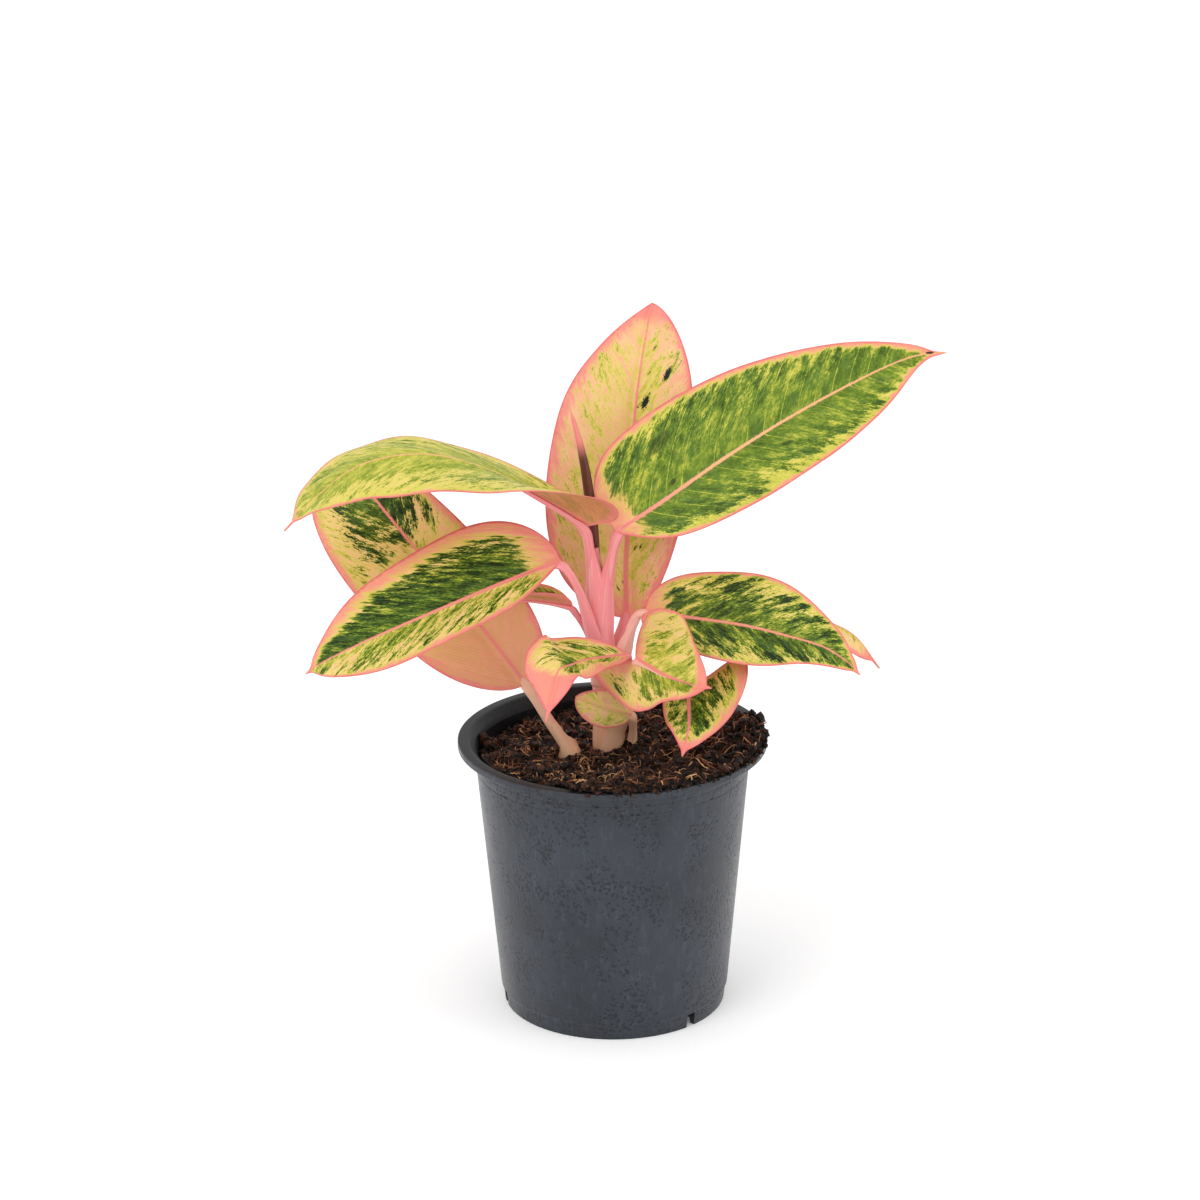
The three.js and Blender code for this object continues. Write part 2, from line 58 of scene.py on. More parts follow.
# Studio, in metres: the floor adds a little light of its own, so that the shadow stays faint
FLOOR_HALF_SIDE = 8.0
FLOOR_WHITE = (0.97, 0.97, 0.97, 1)
FLOOR_GLOW = 0.12
LAMPS = {
    "key_lamp": {"place": (-0.9, -1.1, 1.5), "aim": (0, 0, 0.15), "size": 1.2, "power": 9},
    "side_lamp": {"place": (1.3, -0.5, 0.8), "aim": (0, 0, 0.12), "size": 0.8, "power": 2.5},
}

# Pot
POT_HEIGHT = 109.0
RIM_RADIUS = 60.0
RIM_THICKNESS = 2.6
RIM_INNER_RADIUS = 56.2
WALL_TOP_RADIUS = 53.6
WALL_TOP_Z = 105.4
WALL_FOOT_RADIUS = 44.6
STEP_Z = 6.6
STEP_DEPTH = 0.6
FOOT_RADIUS = 43.3
FOOT_WIDTH = 2.1
WALL = 1.2
BASE_RECESS = 2.4
FLOOR_TOP_Z = 4.0
BOSS_RADIUS = 14.0
NOTCH_COUNT = 3
NOTCH_FIRST_DEG = -47.5
NOTCH_WIDTH = 4.0
NOTCH_HEIGHT = 5.5
NOTCH_DEPTH = 6.0
POT_SEGMENTS = 288
POT_ROUNDING = 0.35
POT_SHARP_DEG = 40
# Two fine grooves under the rim: height and depth of each corner
GROOVES = (
    (97.2, 0), (97.5, 0.18), (97.9, 0.18), (98.2, 0),
    (101.0, 0), (101.2, 0.12), (101.5, 0.12), (101.7, 0),
)

# Potting mix: a tilted, lumpy top that heaps up and spills over the rim at the front and right
SOIL_LEVEL = 102.0
SOIL_SLOPE = (0.03, -0.03)
SOIL_LUMP = 0.7
SPILL_DEG = -45.0
SPILL_RISES = (0.17, 0.45)
SPILL_CROSSES = (0.35, 0.6)
SPILL_REACH = 58.4
SPILL_HEIGHT = 5.5
SPILL_ON_RIM = 0.9
HEAP_DEG = 10.0
HEAP_HEIGHT = 1.6
NEAR_DEG = -70.0
NEAR_RISES = (-0.8, 0.1)
NEAR_SHARE = 0.55
HEAP_RAMP = (22, 48)
RIM_RAMP = (47, 54)
GAP = 0.3
SOIL_STRAIGHT_TO_Z = 94
SOIL_SEGMENTS = 288
SOIL_RINGS = 90
CRUMB_SEED = 5
CRUMB_COUNT = 4600
CRUMB_LEAST = 0.3
CRUMB_SPREAD = 1.9
CRUMB_REACH = 50.4
CRUMB_SHARP_DEG = 30
RIM_CRUMB_COUNT = 620
RIM_CRUMB_SPREAD = 0.8
RIM_CRUMB_SPAN_DEG = 76
FIBRE_SEED = 11
FIBRE_COUNT = 2700
FIBRE_LEAST = 2.4
FIBRE_SPREAD = 8.5
FIBRE_REACH = 50.0
FIBRE_STATIONS = 7
FIBRE_SIDES = 5

# Stem colour: tan below the first height, pink above the second; these stalks stay pale, as do those
# that stand in the mix
PALE_BELOW = 112.0
PINK_ABOVE = 150.0
PALE_STALKS = ("leaf_right", "leaf_curled_centre")

# Leaf surfaces
BLADE_ROWS = 132
BLADE_COLUMNS = 28
BLADE_HALF_THICKNESS = 0.24
LEAST_HALF_WIDTH = 0.22
DRIP_HALF_WIDTH = 1.7
LOBE_LENGTH = 0.2
LOBE_START = 0.015
RIB_END = 0.85
RIB_END_RADIUS = 0.45
VEIN_PITCH = 7.5
FINE_VEIN_PITCH = 1.9
VEIN_SWEEP = 0.013
QUILT_HEIGHT = 0.22
HILL_HEIGHT = 0.35
RIB_HEIGHT = 0.22
RIB_GROOVE = 0.3
STALK_STATIONS = 110
STALK_SIDES = 20
STALK_TAPER = 0.34
STALK_SWELL = 0.35
SWELL_LENGTH = 5.5
RIB_SHARE = 0.66
SHEATH_STATIONS = 72
SHEATH_COLUMNS = 41
SHEATH_HALF_THICKNESS = 0.26
SHEATH_LIP = 3.2

# Seeds: each leaf's marbling is a step from the last one's
LEAF_SEED_STEP = 3.7
SHEATH_SEED = 40
SPEAR_SHEATH_SEED = 60


# Tables

@dataclass
class Half:
    """One side of a blade, seen from above with the tip pointing away.

    width is at its widest, which is that share along the leaf. shoulder and taper are the powers of
    the outline before and after. lift turns it up, and curl bends it on towards the margin, in
    degrees. wave is the margin's height, count and phase. lobe draws the base back past the stalk.
    """

    width: float
    widest: float
    shoulder: float
    taper: float
    lift: list
    wave: tuple = (0, 0, 0)
    lobe: float = 0
    curl: tuple = (0, 0)


@dataclass
class Leaf:
    """A blade on its stalk. The rib goes on from the stalk's end to the tip, and takes in that end.

    face is where the upper side looks, from base to tip. drip is the share taken by the thin tip.
    """

    stalk: list
    radius: float
    rib: list
    face: list
    left: Half
    right: Half
    drip: float = 0.05

    def __post_init__(self):
        self.rib = [self.stalk[-1], *self.rib]


@dataclass
class Sheath:
    """A sheath round a stalk's foot: its path, and where its closed side faces.

    radius and half-turn, in degrees, are at its foot and top, and torn is how torn its edges are.
    """

    path: list
    facing: tuple
    radius: tuple
    turn: tuple
    torn: float


@dataclass
class Look:
    """How a leaf is marked. Pairs are for its left and right halves.

    Its colour comes from one value, how green it is, from 0 (peach) through 0.4 (lime) to 1 (dark
    green). green is that value in the patches, and ground outside them. The patches run from one end
    of span to the other along the leaf, and out to reach across each half. ragged is how torn their
    borders are, and rough how far the value swings inside. streaks is the share of it drawn out
    along the side veins, the rest being speckles. slant is how far the side veins lean to the tip.
    Salmon fades out blush mm in from the margin, and only thins of that is left at the tip. edge
    widens the salmon line. rib is the midrib's half-width in mm and its colour, from salmon, 0, to
    peach, 1. The salmon ends of the blade are at base and tip, and flush is how strong the first is.
    veins is how pale the side veins are. spots is how many dark flecks there are, and how dark.
    flecks are larger ones: vein value, distance across, radius and how dark. dry is where along it a
    dried brown spot is.
    """

    green: tuple
    ground: float
    span: tuple
    reach: tuple
    rough: float
    slant: float
    blush: tuple
    ragged: float = 0.8
    streaks: float = 0.5
    edge: float = 0.4
    rib: tuple = (0.6, 0.0)
    tip: float = 0.95
    base: float = 0.05
    flush: float = 0.7
    veins: float = 0.1
    spots: tuple = (0.2, 0.4)
    flecks: tuple = ()
    dry: float = None
    thins: float = 1.0


STEM = {
    "path": [[-2, 8, 86], [-2, 8, 102], [-2, 8, 121], [-4, 8, 146], [-4.6, 8, 163]],
    "radii": [5.6, 5.6, 5.2, 4.9, 5],
}
SPEAR = {
    "path": [
        [-4.4, 9, 154], [-5, 11.6, 165], [-6, 12, 180], [-7.5, 12, 197],
        [-9.5, 12, 213], [-12, 12, 226], [-15, 12, 238],
    ],
    "radii": [1.6, 2, 2.1, 2, 1.8, 1.3, 0.5],
}
SPEAR_SHEATH = Sheath(
    [[-3.8, 8.2, 136], [-4.4, 9, 152], [-5.4, 11.2, 168], [-6.3, 11.4, 183]],
    facing=(0.35, -1, 0), radius=(4.6, 2.6), turn=(170, 16), torn=0.05,
)

LEAVES = {
    "leaf_arching_left": Leaf(
        stalk=[[-7.2, 8, 163.5], [-7.6, 7, 178], [-9, 5, 193]], radius=2.5,
        rib=[
            [-22, 2, 203], [-45, -3, 218], [-69, -10, 227],
            [-93, -16, 225], [-111, -21, 213], [-122, -24, 202],
        ],
        face=[[0.3, 0.3, 1], [0, 0, 1], [-0.3, 0, 1]],
        left=Half(26, 0.42, 0.4, 0.85, [58, 24, -12, -20, -12, 2], (1, 2.5, 0.5), lobe=14),
        right=Half(24, 0.55, 0.6, 0.75, [55, 24, 0, 0, 5, 5], (1.4, 2.2, 2)),
    ),
    "leaf_back_left": Leaf(
        stalk=[[-12, -3, 88], [-16, -2, 102], [-25, -1, 117], [-33, 0, 131]], radius=2.7,
        rib=[[-50, 7, 152], [-75, 18, 180], [-92, 30, 198], [-102, 45, 205], [-108, 62, 203]],
        face=[[0.2, -1, 0.3], [0, -1, 0.5], [0, -0.6, 1]],
        left=Half(29.5, 0.42, 0.5, 0.85, [10, 5, 0], (1.2, 2, 1)),
        right=Half(21.5, 0.3, 0.5, 1.3, [20, 10, 0], (1.4, 2.5, 0), lobe=4),
    ),
    "leaf_front_left": Leaf(
        stalk=[[-5.4, 6.4, 146], [-9.6, 1.8, 161], [-15, -2, 175], [-19, -3, 182]], radius=2.1,
        rib=[[-41, -14, 177], [-66, -28, 171], [-91, -40, 164], [-107, -46, 158], [-114, -48, 154]],
        face=[[0, -0.5, 1]] * 3,
        left=Half(16.5, 0.5, 0.7, 1, [0, 0, 0], (0.9, 2.5, 2)),
        right=Half(26.5, 0.3, 0.5, 1.45, [25, 25, 25], (1.2, 2, 0), lobe=3),
    ),
    "leaf_tall_back": Leaf(
        stalk=[[-3, 10, 120], [0, 14, 138], [6, 18, 151]], radius=2.1,
        rib=[[6, 26, 172], [8, 36, 197], [10, 46, 225], [13, 53, 246], [17, 60, 266]],
        face=[[0, -1, 0.3], [0.1, -1, 0.3], [0.1, -1, 0.4]],
        left=Half(33.5, 0.4, 0.5, 0.95, [10, 5, 0], (1.3, 2.2, 1)),
        right=Half(25, 0.54, 0.4, 0.64, [10, 25, 30, 30], (1.2, 2.6, 3), lobe=3),
        drip=0,
    ),
    "leaf_long_right": Leaf(
        stalk=[[-1.6, 8, 163.5], [0, 6.5, 178], [2, 4, 191]], radius=2.5,
        rib=[
            [19, 8, 201], [45, 13, 218], [71, 18, 233],
            [97, 22, 246], [115, 25, 253], [128.6, 27.2, 254.2],
        ],
        face=[[-0.25, -0.85, 0.45]] * 3,
        left=Half(31.5, 0.28, 0.5, 1.4, [10, 5, 0, 0], (1.2, 2.4, 0), lobe=5),
        right=Half(25, 0.42, 0.5, 1.65, [15, 15, 10], (1.3, 2.1, 2.5)),
        drip=0.04,
    ),
    "leaf_right": Leaf(
        stalk=[[-1, 8, 126], [5, 7, 144], [9, 7, 155], [13, 6, 158]], radius=2,
        rib=[
            [30, -2, 158], [50, -14, 159], [67, -24, 158],
            [80, -31, 156], [89, -35, 151], [93, -36, 147],
        ],
        face=[[0, -0.5, 1], [0, -0.5, 1], [0.2, -0.5, 1]],
        left=Half(21.5, 0.31, 0.5, 1.8, [30, 25, 15], (1, 2.3, 1.5), lobe=4),
        right=Half(21.5, 0.34, 0.5, 1.6, [10, 5, 0], (1.1, 2, 0), lobe=3),
    ),
    "leaf_curled_centre": Leaf(
        stalk=[[0, 5, 112], [8, -2, 128], [9, -14, 146]], radius=1.9,
        rib=[[14, -21, 145.5], [19, -28, 145], [25, -35, 145], [30, -41, 145.5], [37, -46, 146]],
        face=[[0, -0.35, 1], [0, -0.35, 1], [0, -0.3, 1]],
        left=Half(30, 0.51, 0.42, 0.64, [40, 45, 52, 58], (0.8, 1.5, 0), curl=(85, 75, 50, 25)),
        right=Half(17.5, 0.34, 0.5, 0.8, [-58, -36, -16, -12], (0.6, 1.6, 1), lobe=33),
    ),
    "leaf_drooping_left": Leaf(
        stalk=[[0, 5, 120], [5, 0, 134], [7, -9, 146]], radius=1.8,
        rib=[
            [0, -14, 147], [-9, -20, 148], [-15, -28, 149],
            [-20, -34, 149], [-22, -40, 144], [-25, -46, 133],
        ],
        face=[[0, -0.4, 1], [0, -0.4, 1], [-0.4, -1, 0.4]],
        left=Half(11.5, 0.5, 0.7, 0.85, [10, 10, 0], (0.8, 1.5, 0)),
        right=Half(15, 0.55, 0.7, 0.85, [10, 20, 0], (1.2, 1.5, 2)),
    ),
    "leaf_low_front": Leaf(
        stalk=[[8, 8, 90], [8, 6, 102], [8, 2, 111], [8, -4, 119]], radius=2,
        rib=[[1, -8, 123], [-6, -11, 126.5], [-14, -12, 130]],
        face=[[-0.3, -1, 0.6]] * 3,
        left=Half(8.2, 0.52, 0.5, 0.55, [-10, -10]),
        right=Half(7, 0.42, 0.5, 0.7, [10, 10]),
        drip=0,
    ),
    "leaf_drooping_right": Leaf(
        stalk=[[0, 9, 112], [10, 6, 122], [20, -6, 133], [29, -20, 137]], radius=1.9,
        rib=[[29, -26, 134], [29, -33, 128], [28, -38, 123], [26, -42, 117]],
        face=[[0, -0.7, 0.7], [0, -0.8, 0.5], [0, -1, 0.3]],
        left=Half(25, 0.2, 0.5, 1.2, [25, 25, 10], (1.2, 1.5, 1), lobe=9),
        right=Half(10, 0.35, 0.5, 1, [0, 0, 0], (0.7, 1.5, 0)),
        drip=0.06,
    ),
    "leaf_far_right": Leaf(
        stalk=[[1, 9, 119], [10, 12, 134], [20, 12, 149]], radius=1.8,
        rib=[[44, 20, 149], [66, 25, 148], [82, 25, 146.5], [94.5, 20, 142], [104, 13, 131]],
        face=[[0, -0.1, 1], [0, 0, 1], [0.5, -0.5, 1]],
        left=Half(14, 0.4, 0.5, 1.4, [0, -15, -55], (1, 2, 0)),
        right=Half(14, 0.6, 0.5, 0.6, [0, 0, 0], (1.1, 2.3, 2)),
    ),
    "leaf_small_left": Leaf(
        stalk=[[-3, 8, 130], [-9, 8, 148], [-15, 4, 161]], radius=1.6,
        rib=[[-25, 1, 164], [-37, -2, 166], [-47, -6, 165]],
        face=[[0, 0.2, 1]] * 3,
        left=Half(7, 0.42, 0.5, 0.85, [40, 35, 20]),
        right=Half(8, 0.42, 0.5, 0.85, [50, 50, 30]),
    ),
}

SHEATHS = {
    "leaf_arching_left": Sheath(
        [[-4.1, 8, 136], [-4.8, 7.9, 158], [-6.3, 7.5, 174], [-8.3, 6.1, 188]],
        facing=(-0.75, -0.75, 0), radius=(4.7, 1.3), turn=(128, 110), torn=0.03,
    ),
    "leaf_long_right": Sheath(
        [[-3.7, 8, 128], [-3.8, 7.9, 152], [-2.2, 7.3, 171], [0.7, 5.3, 185]],
        facing=(0.85, -0.5, 0), radius=(4.6, 1.3), turn=(130, 110), torn=0.03,
    ),
    "leaf_front_left": Sheath(
        [[-4.2, 7.8, 128], [-5.4, 6.6, 146], [-9.2, 2.4, 160], [-14.2, -1.4, 173.5]],
        facing=(-0.85, -0.5, 0), radius=(3.7, 1.1), turn=(105, 85), torn=0.03,
    ),
    "leaf_tall_back": Sheath(
        [[-2.4, 8.4, 108], [-1.6, 10.8, 123], [0.6, 14.4, 137], [4.6, 17.2, 148]],
        facing=(0.9, 0.1, 0), radius=(4.6, 1.2), turn=(100, 85), torn=0.05,
    ),
    "leaf_right": Sheath(
        [[-0.6, 8, 122], [2.4, 7.6, 133], [5.6, 6.9, 145], [10.2, 6.6, 155.6]],
        facing=(0.3, -1, 0), radius=(2.9, 1.2), turn=(95, 70), torn=0.22,
    ),
    "leaf_curled_centre": Sheath(
        [[-1.2, 6.8, 98], [0.6, 4.6, 112], [5.6, 0.2, 122], [8, -3.4, 130.5]],
        facing=(0.7, -0.7, 0), radius=(4.9, 1.3), turn=(80, 75), torn=0.1,
    ),
    "leaf_back_left": Sheath(
        [[-11.8, -3.1, 94], [-15.2, -2.3, 101], [-19.2, -1.6, 108], [-23.6, -1.1, 115]],
        facing=(0.5, -1, -0.1), radius=(3.2, 3.4), turn=(125, 30), torn=0.5,
    ),
    "leaf_low_front": Sheath(
        [[7.6, 8, 92], [8, 6.8, 99], [8, 5.0, 105.5], [8, 2.6, 110.4]],
        facing=(-0.3, -1, 0), radius=(3.0, 1.5), turn=(120, 60), torn=0.12,
    ),
}

LOOKS = {
    "leaf_arching_left": Look(
        green=(0.47, 0.46), ground=0.36, span=(0.04, 0.92), reach=(0.6, 0.74), rough=0.22, slant=1.5,
        blush=(1.5, 1.5), ragged=1.0, streaks=0.05, edge=0.35, rib=(0.4, 0.8), tip=0.93, base=0.04,
        veins=0.6, spots=(0.3, 0.3),
    ),
    "leaf_back_left": Look(
        green=(0.7, 0.78), ground=0.33, span=(0.44, 1.02), reach=(0.6, 0.86), rough=0.6, slant=1.0,
        blush=(3.5, 3.5), ragged=0.7, streaks=0.2, rib=(0.6, 0.1), tip=0.97, base=0.37, flush=0.62,
        spots=(0.6, 0.7),
    ),
    "leaf_front_left": Look(
        green=(0.45, 0.78), ground=0.37, span=(0.02, 0.98), reach=(0.8, 0.8), rough=0.75, slant=1.7,
        blush=(2.4, 6.4), thins=0.35, ragged=0.7, streaks=0.35, edge=0.45, rib=(0.65, 0.15), base=0.06,
        flush=0.8, veins=0.35,
    ),
    "leaf_tall_back": Look(
        green=(0.27, 0.33), ground=0.15, span=(0.02, 0.84), reach=(0.72, 0.6), rough=0.26, slant=1.0,
        blush=(5.0, 4.0), ragged=1.2, streaks=0.15, edge=0.6, rib=(0.8, 0.0), tip=0.94, veins=-0.1,
        spots=(0.4, 1.0), flecks=((82.7, -11.8, 1.6, 1.0), (80.2, -4.1, 1.8, 1.0)),
    ),
    "leaf_long_right": Look(
        green=(0.61, 0.62), ground=0.42, span=(-0.02, 1.0), reach=(0.9, 0.84), rough=0.3, slant=0.75,
        blush=(2.8, 1.8), ragged=0.5, streaks=0.4, edge=0.5, rib=(0.6, 0.8), base=0.03, flush=0.8,
        veins=1.3, spots=(0.5, 0.4), dry=0.92,
        flecks=((13.9, 19.6, 3.0, 0.5), (25.7, 3.9, 1.1, 0.8), (64.9, -9.3, 1.2, 0.7)),
    ),
    "leaf_right": Look(
        green=(0.66, 0.7), ground=0.42, span=(0.06, 0.95), reach=(0.8, 0.86), rough=0.7, slant=1.2,
        blush=(1.6, 1.4), ragged=0.75, streaks=0.4, rib=(0.6, 0.3), tip=0.93, base=0.03, flush=0.8,
        veins=0.5, spots=(0.4, 0.5),
    ),
    "leaf_curled_centre": Look(
        green=(0.4, 0.52), ground=0.3, span=(0.1, 0.85), reach=(0.66, 0.6), rough=0.5, slant=1.2,
        blush=(2.2, 3.4), rib=(0.7, 0.0), tip=0.84, veins=0.3,
    ),
    "leaf_drooping_left": Look(
        green=(0.52, 0.56), ground=0.31, span=(0.12, 0.62), reach=(0.56, 0.62), rough=0.7, slant=1.1,
        blush=(5.2, 3.6), streaks=0.6, tip=0.72, veins=0.2,
    ),
    "leaf_low_front": Look(
        green=(0.25, 0.2), ground=0.13, span=(0.0, 0.92), reach=(0.8, 0.7), rough=0.34, slant=1.0,
        blush=(1.4, 1.4), ragged=0.9, streaks=0.3, edge=0.3, rib=(0.2, 0.9), tip=0.97, base=0.02,
        flush=0.5, spots=(0.4, 0.4),
    ),
    "leaf_drooping_right": Look(
        green=(0.62, 0.6), ground=0.4, span=(0.02, 0.74), reach=(0.6, 0.8), rough=0.85, slant=0.9,
        blush=(5.0, 1.4), streaks=0.35, edge=0.45, rib=(0.7, 0.0), tip=0.8, base=0.02,
        spots=(0.3, 0.5),
    ),
    "leaf_far_right": Look(
        green=(0.42, 0.3), ground=0.24, span=(0.1, 0.75), reach=(0.7, 0.7), rough=0.5, slant=1.0,
        blush=(3.0, 3.0), rib=(0.5, 0.2), tip=0.9, veins=0.0, spots=(0.3, 0.5),
    ),
    "leaf_small_left": Look(
        green=(0.7, 0.5), ground=0.36, span=(0.1, 0.85), reach=(0.8, 0.7), rough=0.7, slant=1.2,
        blush=(1.4, 2.2), ragged=0.7, streaks=0.6, edge=0.35, rib=(0.4, 0.2), tip=0.88, flush=0.6,
    ),
}


def colour(red, green, blue):
    """A display colour, 0 to 255, as the linear colour that a shader takes."""
    share = np.array([red, green, blue]) / 255
    linear = np.where(share <= 0.04045, share / 12.92, ((share + 0.055) / 1.055) ** 2.4)
    return (*map(float, linear), 1.0)


SALMON = colour(233, 136, 128)
DEEP_SALMON = colour(226, 108, 112)
PALE_PINK = colour(246, 196, 190)
PEACH = colour(238, 182, 124)
CREAM = colour(244, 214, 154)
DARK_FLECK = colour(16, 34, 14)
DRY_TIP = colour(66, 50, 30)
SHADE_GREEN = colour(80, 112, 50)
# From bare ground to the deepest green: how green, and the colour there.
MARBLING = (
    (0.0, colour(234, 160, 134)),
    (0.16, colour(238, 184, 138)),
    (0.28, colour(232, 204, 122)),
    (0.38, colour(204, 196, 80)),
    (0.48, colour(164, 170, 58)),
    (0.6, colour(104, 130, 34)),
    (0.74, colour(72, 96, 22)),
    (0.88, colour(44, 66, 12)),
    (1.0, colour(22, 42, 10)),
)


# Curves and surfaces

def smooth(points, t):
    """The uniform Catmull-Rom curve through the points at t, 0 to 1 in equal steps from point to point.

    Each end has a helper point that mirrors its neighbour.
    """
    points = np.asarray(points, float)
    flat = points.ndim == 1
    if flat:
        points = points[:, None]
    t = np.asarray(t, float)
    padded = np.vstack([2 * points[0] - points[1], points, 2 * points[-1] - points[-2]])
    place = np.clip(t, 0, 1) * (len(points) - 1)
    first = np.minimum(place.astype(int), len(points) - 2)
    u = (place - first)[..., None]
    a, b, c, d = (padded[first + k] for k in range(4))
    value = 0.5 * (2 * b + (c - a) * u + (2 * a - 5 * b + 4 * c - d) * u**2
                   + (-a + 3 * b - 3 * c + d) * u**3)
    return value[..., 0] if flat else value


def unit(vectors):
    """Each vector over its own length."""
    return vectors / np.maximum(np.linalg.norm(vectors, axis=-1, keepdims=True), 1e-9)


def blend(first, last, share):
    """From first to last by share."""
    return first + (last - first) * share


def smoothstep(value, low, high):
    """0 below low, 1 above high, and an S-shaped rise between them."""
    share = np.clip((value - low) / (high - low), 0, 1)
    return share * share * (3 - 2 * share)


def running_length(path):
    """How far along the path each of its points is."""
    return np.concatenate([[0], np.cumsum(np.linalg.norm(np.diff(path, axis=0), axis=1))])


def even_path(points, count):
    """The smooth curve through the points at count stations spaced evenly by length, and its length."""
    dense = smooth(points, np.linspace(0, 1, 40 * len(points)))
    length = running_length(dense)
    wanted = np.linspace(0, length[-1], count)
    path = np.stack([np.interp(wanted, length, dense[:, axis]) for axis in range(3)], axis=1)
    return path, length[-1]


def path_frames(path, start):
    """Two directions square to the path at each station, carried along it without twisting."""
    along = unit(np.gradient(path, axis=0))
    side = np.empty_like(path)
    current = np.asarray(start, float)
    for i, direction in enumerate(along):
        current = unit(current - direction * (current @ direction))
        side[i] = current
    return side, np.cross(along, side)


def full_turn(count):
    """Angles evenly round a circle."""
    return np.linspace(0, 2 * np.pi, count, endpoint=False)


def beside(path, side, other, first, second):
    """Points beside each station: first along its side direction and second along the other."""
    return (path[..., None, :] + first[..., None] * side[..., None, :]
            + second[..., None] * other[..., None, :])


def fold_noise(x, y, seed):
    """Smooth low hills made of six sine waves of mixed direction, about -1 to 1."""
    total = np.zeros(np.broadcast(x, y).shape)
    random = np.random.default_rng(seed)
    for _ in range(6):
        angle = random.uniform(0, 2 * math.pi)
        pitch = random.uniform(0.6, 1.7)
        phase = random.uniform(0, 6.3)
        total += np.sin((x * math.cos(angle) + y * math.sin(angle)) * pitch + phase)
    return total / 3


class Shape:
    """Closed shells gathered into one mesh, each with its finish number and its point values."""

    VALUES = ("along", "across", "share", "margin", "vein")

    def __init__(self):
        self.points = []
        self.faces = []
        self.finishes = []
        self.values = {name: [] for name in self.VALUES}
        self.count = 0

    def add(self, points, quads, triangles=(), finish=0, **values):
        """One shell. Its faces are turned outwards: the signed volume under them must be positive."""
        points = np.asarray(points, float).reshape(-1, 3)
        triangles = np.asarray(triangles, int).reshape(-1, 3)
        quads = np.asarray(quads, int).reshape(-1, 4)
        split = np.concatenate([quads[:, [0, 1, 2]], quads[:, [0, 2, 3]], triangles])
        corners = points[split] - points.mean(axis=0)
        volume = np.einsum("ij,ij->", corners[:, 0], np.cross(corners[:, 1], corners[:, 2]))
        if volume < 0:
            quads = quads[:, ::-1]
            triangles = triangles[:, ::-1]
        faces = (quads + self.count).tolist() + (triangles + self.count).tolist()
        self.points.append(points)
        self.faces += faces
        self.finishes.append(np.broadcast_to(finish, len(faces)))
        for name in self.VALUES:
            self.values[name].append(np.broadcast_to(values.get(name, 0.0), len(points)))
        self.count += len(points)

    def piece(self, name, materials, slot, stands_in=True, sharp_deg=None):
        """The mesh object at the origin. With stands_in it takes the place of the node its slot names."""
        mesh = bpy.data.meshes.new(name)
        mesh.from_pydata((np.concatenate(self.points) * MM).tolist(), [], self.faces)
        mesh.polygons.foreach_set("material_index", np.concatenate(self.finishes).astype(np.int32))
        mesh.polygons.foreach_set("use_smooth", np.ones(len(self.faces), bool))
        for value, parts in self.values.items():
            attribute = mesh.attributes.new(value, "FLOAT", "POINT")
            attribute.data.foreach_set("value", np.concatenate(parts).astype(np.float32))
        for material in materials:
            mesh.materials.append(material)
        if sharp_deg:
            mesh.set_sharp_from_angle(angle=math.radians(sharp_deg))
        mesh.update()
        piece = place_in_scene(name, mesh)
        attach(piece, BODY)
        if stands_in:
            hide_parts(slot)
        return piece


def place_in_scene(name, data):
    """A new object of the scene with this mesh, camera or light."""
    thing = bpy.data.objects.new(name, data)
    bpy.context.scene.collection.objects.link(thing)
    return thing


def ring_faces(rows, sides):
    """Quads between neighbouring rings of a loft, each ring closed on itself."""
    row, side = np.meshgrid(np.arange(rows - 1), np.arange(sides), indexing="ij")
    a = (row * sides + side).ravel()
    b = (row * sides + (side + 1) % sides).ravel()
    return np.stack([a, b, b + sides, a + sides], axis=1)


def loft(rings, start=None, end=None):
    """Points, quads and end triangles of a closed body through the rings; each end fans to a pole."""
    rows, sides = rings.shape[:2]
    start = rings[0].mean(axis=0) if start is None else np.asarray(start, float)
    end = rings[-1].mean(axis=0) if end is None else np.asarray(end, float)
    points = np.vstack([rings.reshape(-1, 3), start, end])
    side = np.arange(sides)
    following = (side + 1) % sides
    first = np.full(sides, rows * sides)
    top = (rows - 1) * sides
    triangles = np.concatenate([
        np.stack([first, following, side], axis=1),
        np.stack([first + 1, top + side, top + following], axis=1),
    ])
    return points, ring_faces(rows, sides), triangles


def loft_values(along, angle):
    """The along and across values of a loft's points: its stations by its angles, then both poles."""
    return {
        "along": np.concatenate([np.repeat(along, len(angle)), [0, 1]]),
        "across": np.concatenate([np.tile(angle, len(along)), [0, 0]]),
    }


def sheet_shell(upper, lower):
    """Points and quads of a closed thin shell between two matching grids of points."""
    rows, columns = upper.shape[:2]
    row, column = np.meshgrid(np.arange(rows - 1), np.arange(columns - 1), indexing="ij")
    a = (row * columns + column).ravel()
    top = np.stack([a, a + 1, a + columns + 1, a + columns], axis=1)
    under = rows * columns
    bottom = top[:, ::-1] + under
    loop = np.concatenate([
        np.arange(columns),
        np.arange(1, rows) * columns + columns - 1,
        (rows - 1) * columns + np.arange(columns - 2, -1, -1),
        np.arange(rows - 2, 0, -1) * columns,
    ])
    onward = np.roll(loop, -1)
    wall = np.stack([onward, loop, loop + under, onward + under], axis=1)
    points = np.concatenate([upper.reshape(-1, 3), lower.reshape(-1, 3)])
    return points, top, bottom, wall


def grid_normals(grid):
    """The normal at each grid point, square to the lines through it both ways."""
    across = np.gradient(grid, axis=1)
    ahead = np.gradient(grid, axis=0)
    return unit(np.cross(across, ahead))


def copies(faces, points_each, count):
    """The faces of count copies of one small body that has points_each points."""
    return (faces[None] + points_each * np.arange(count)[:, None, None]).reshape(-1, faces.shape[1])


# Leaves

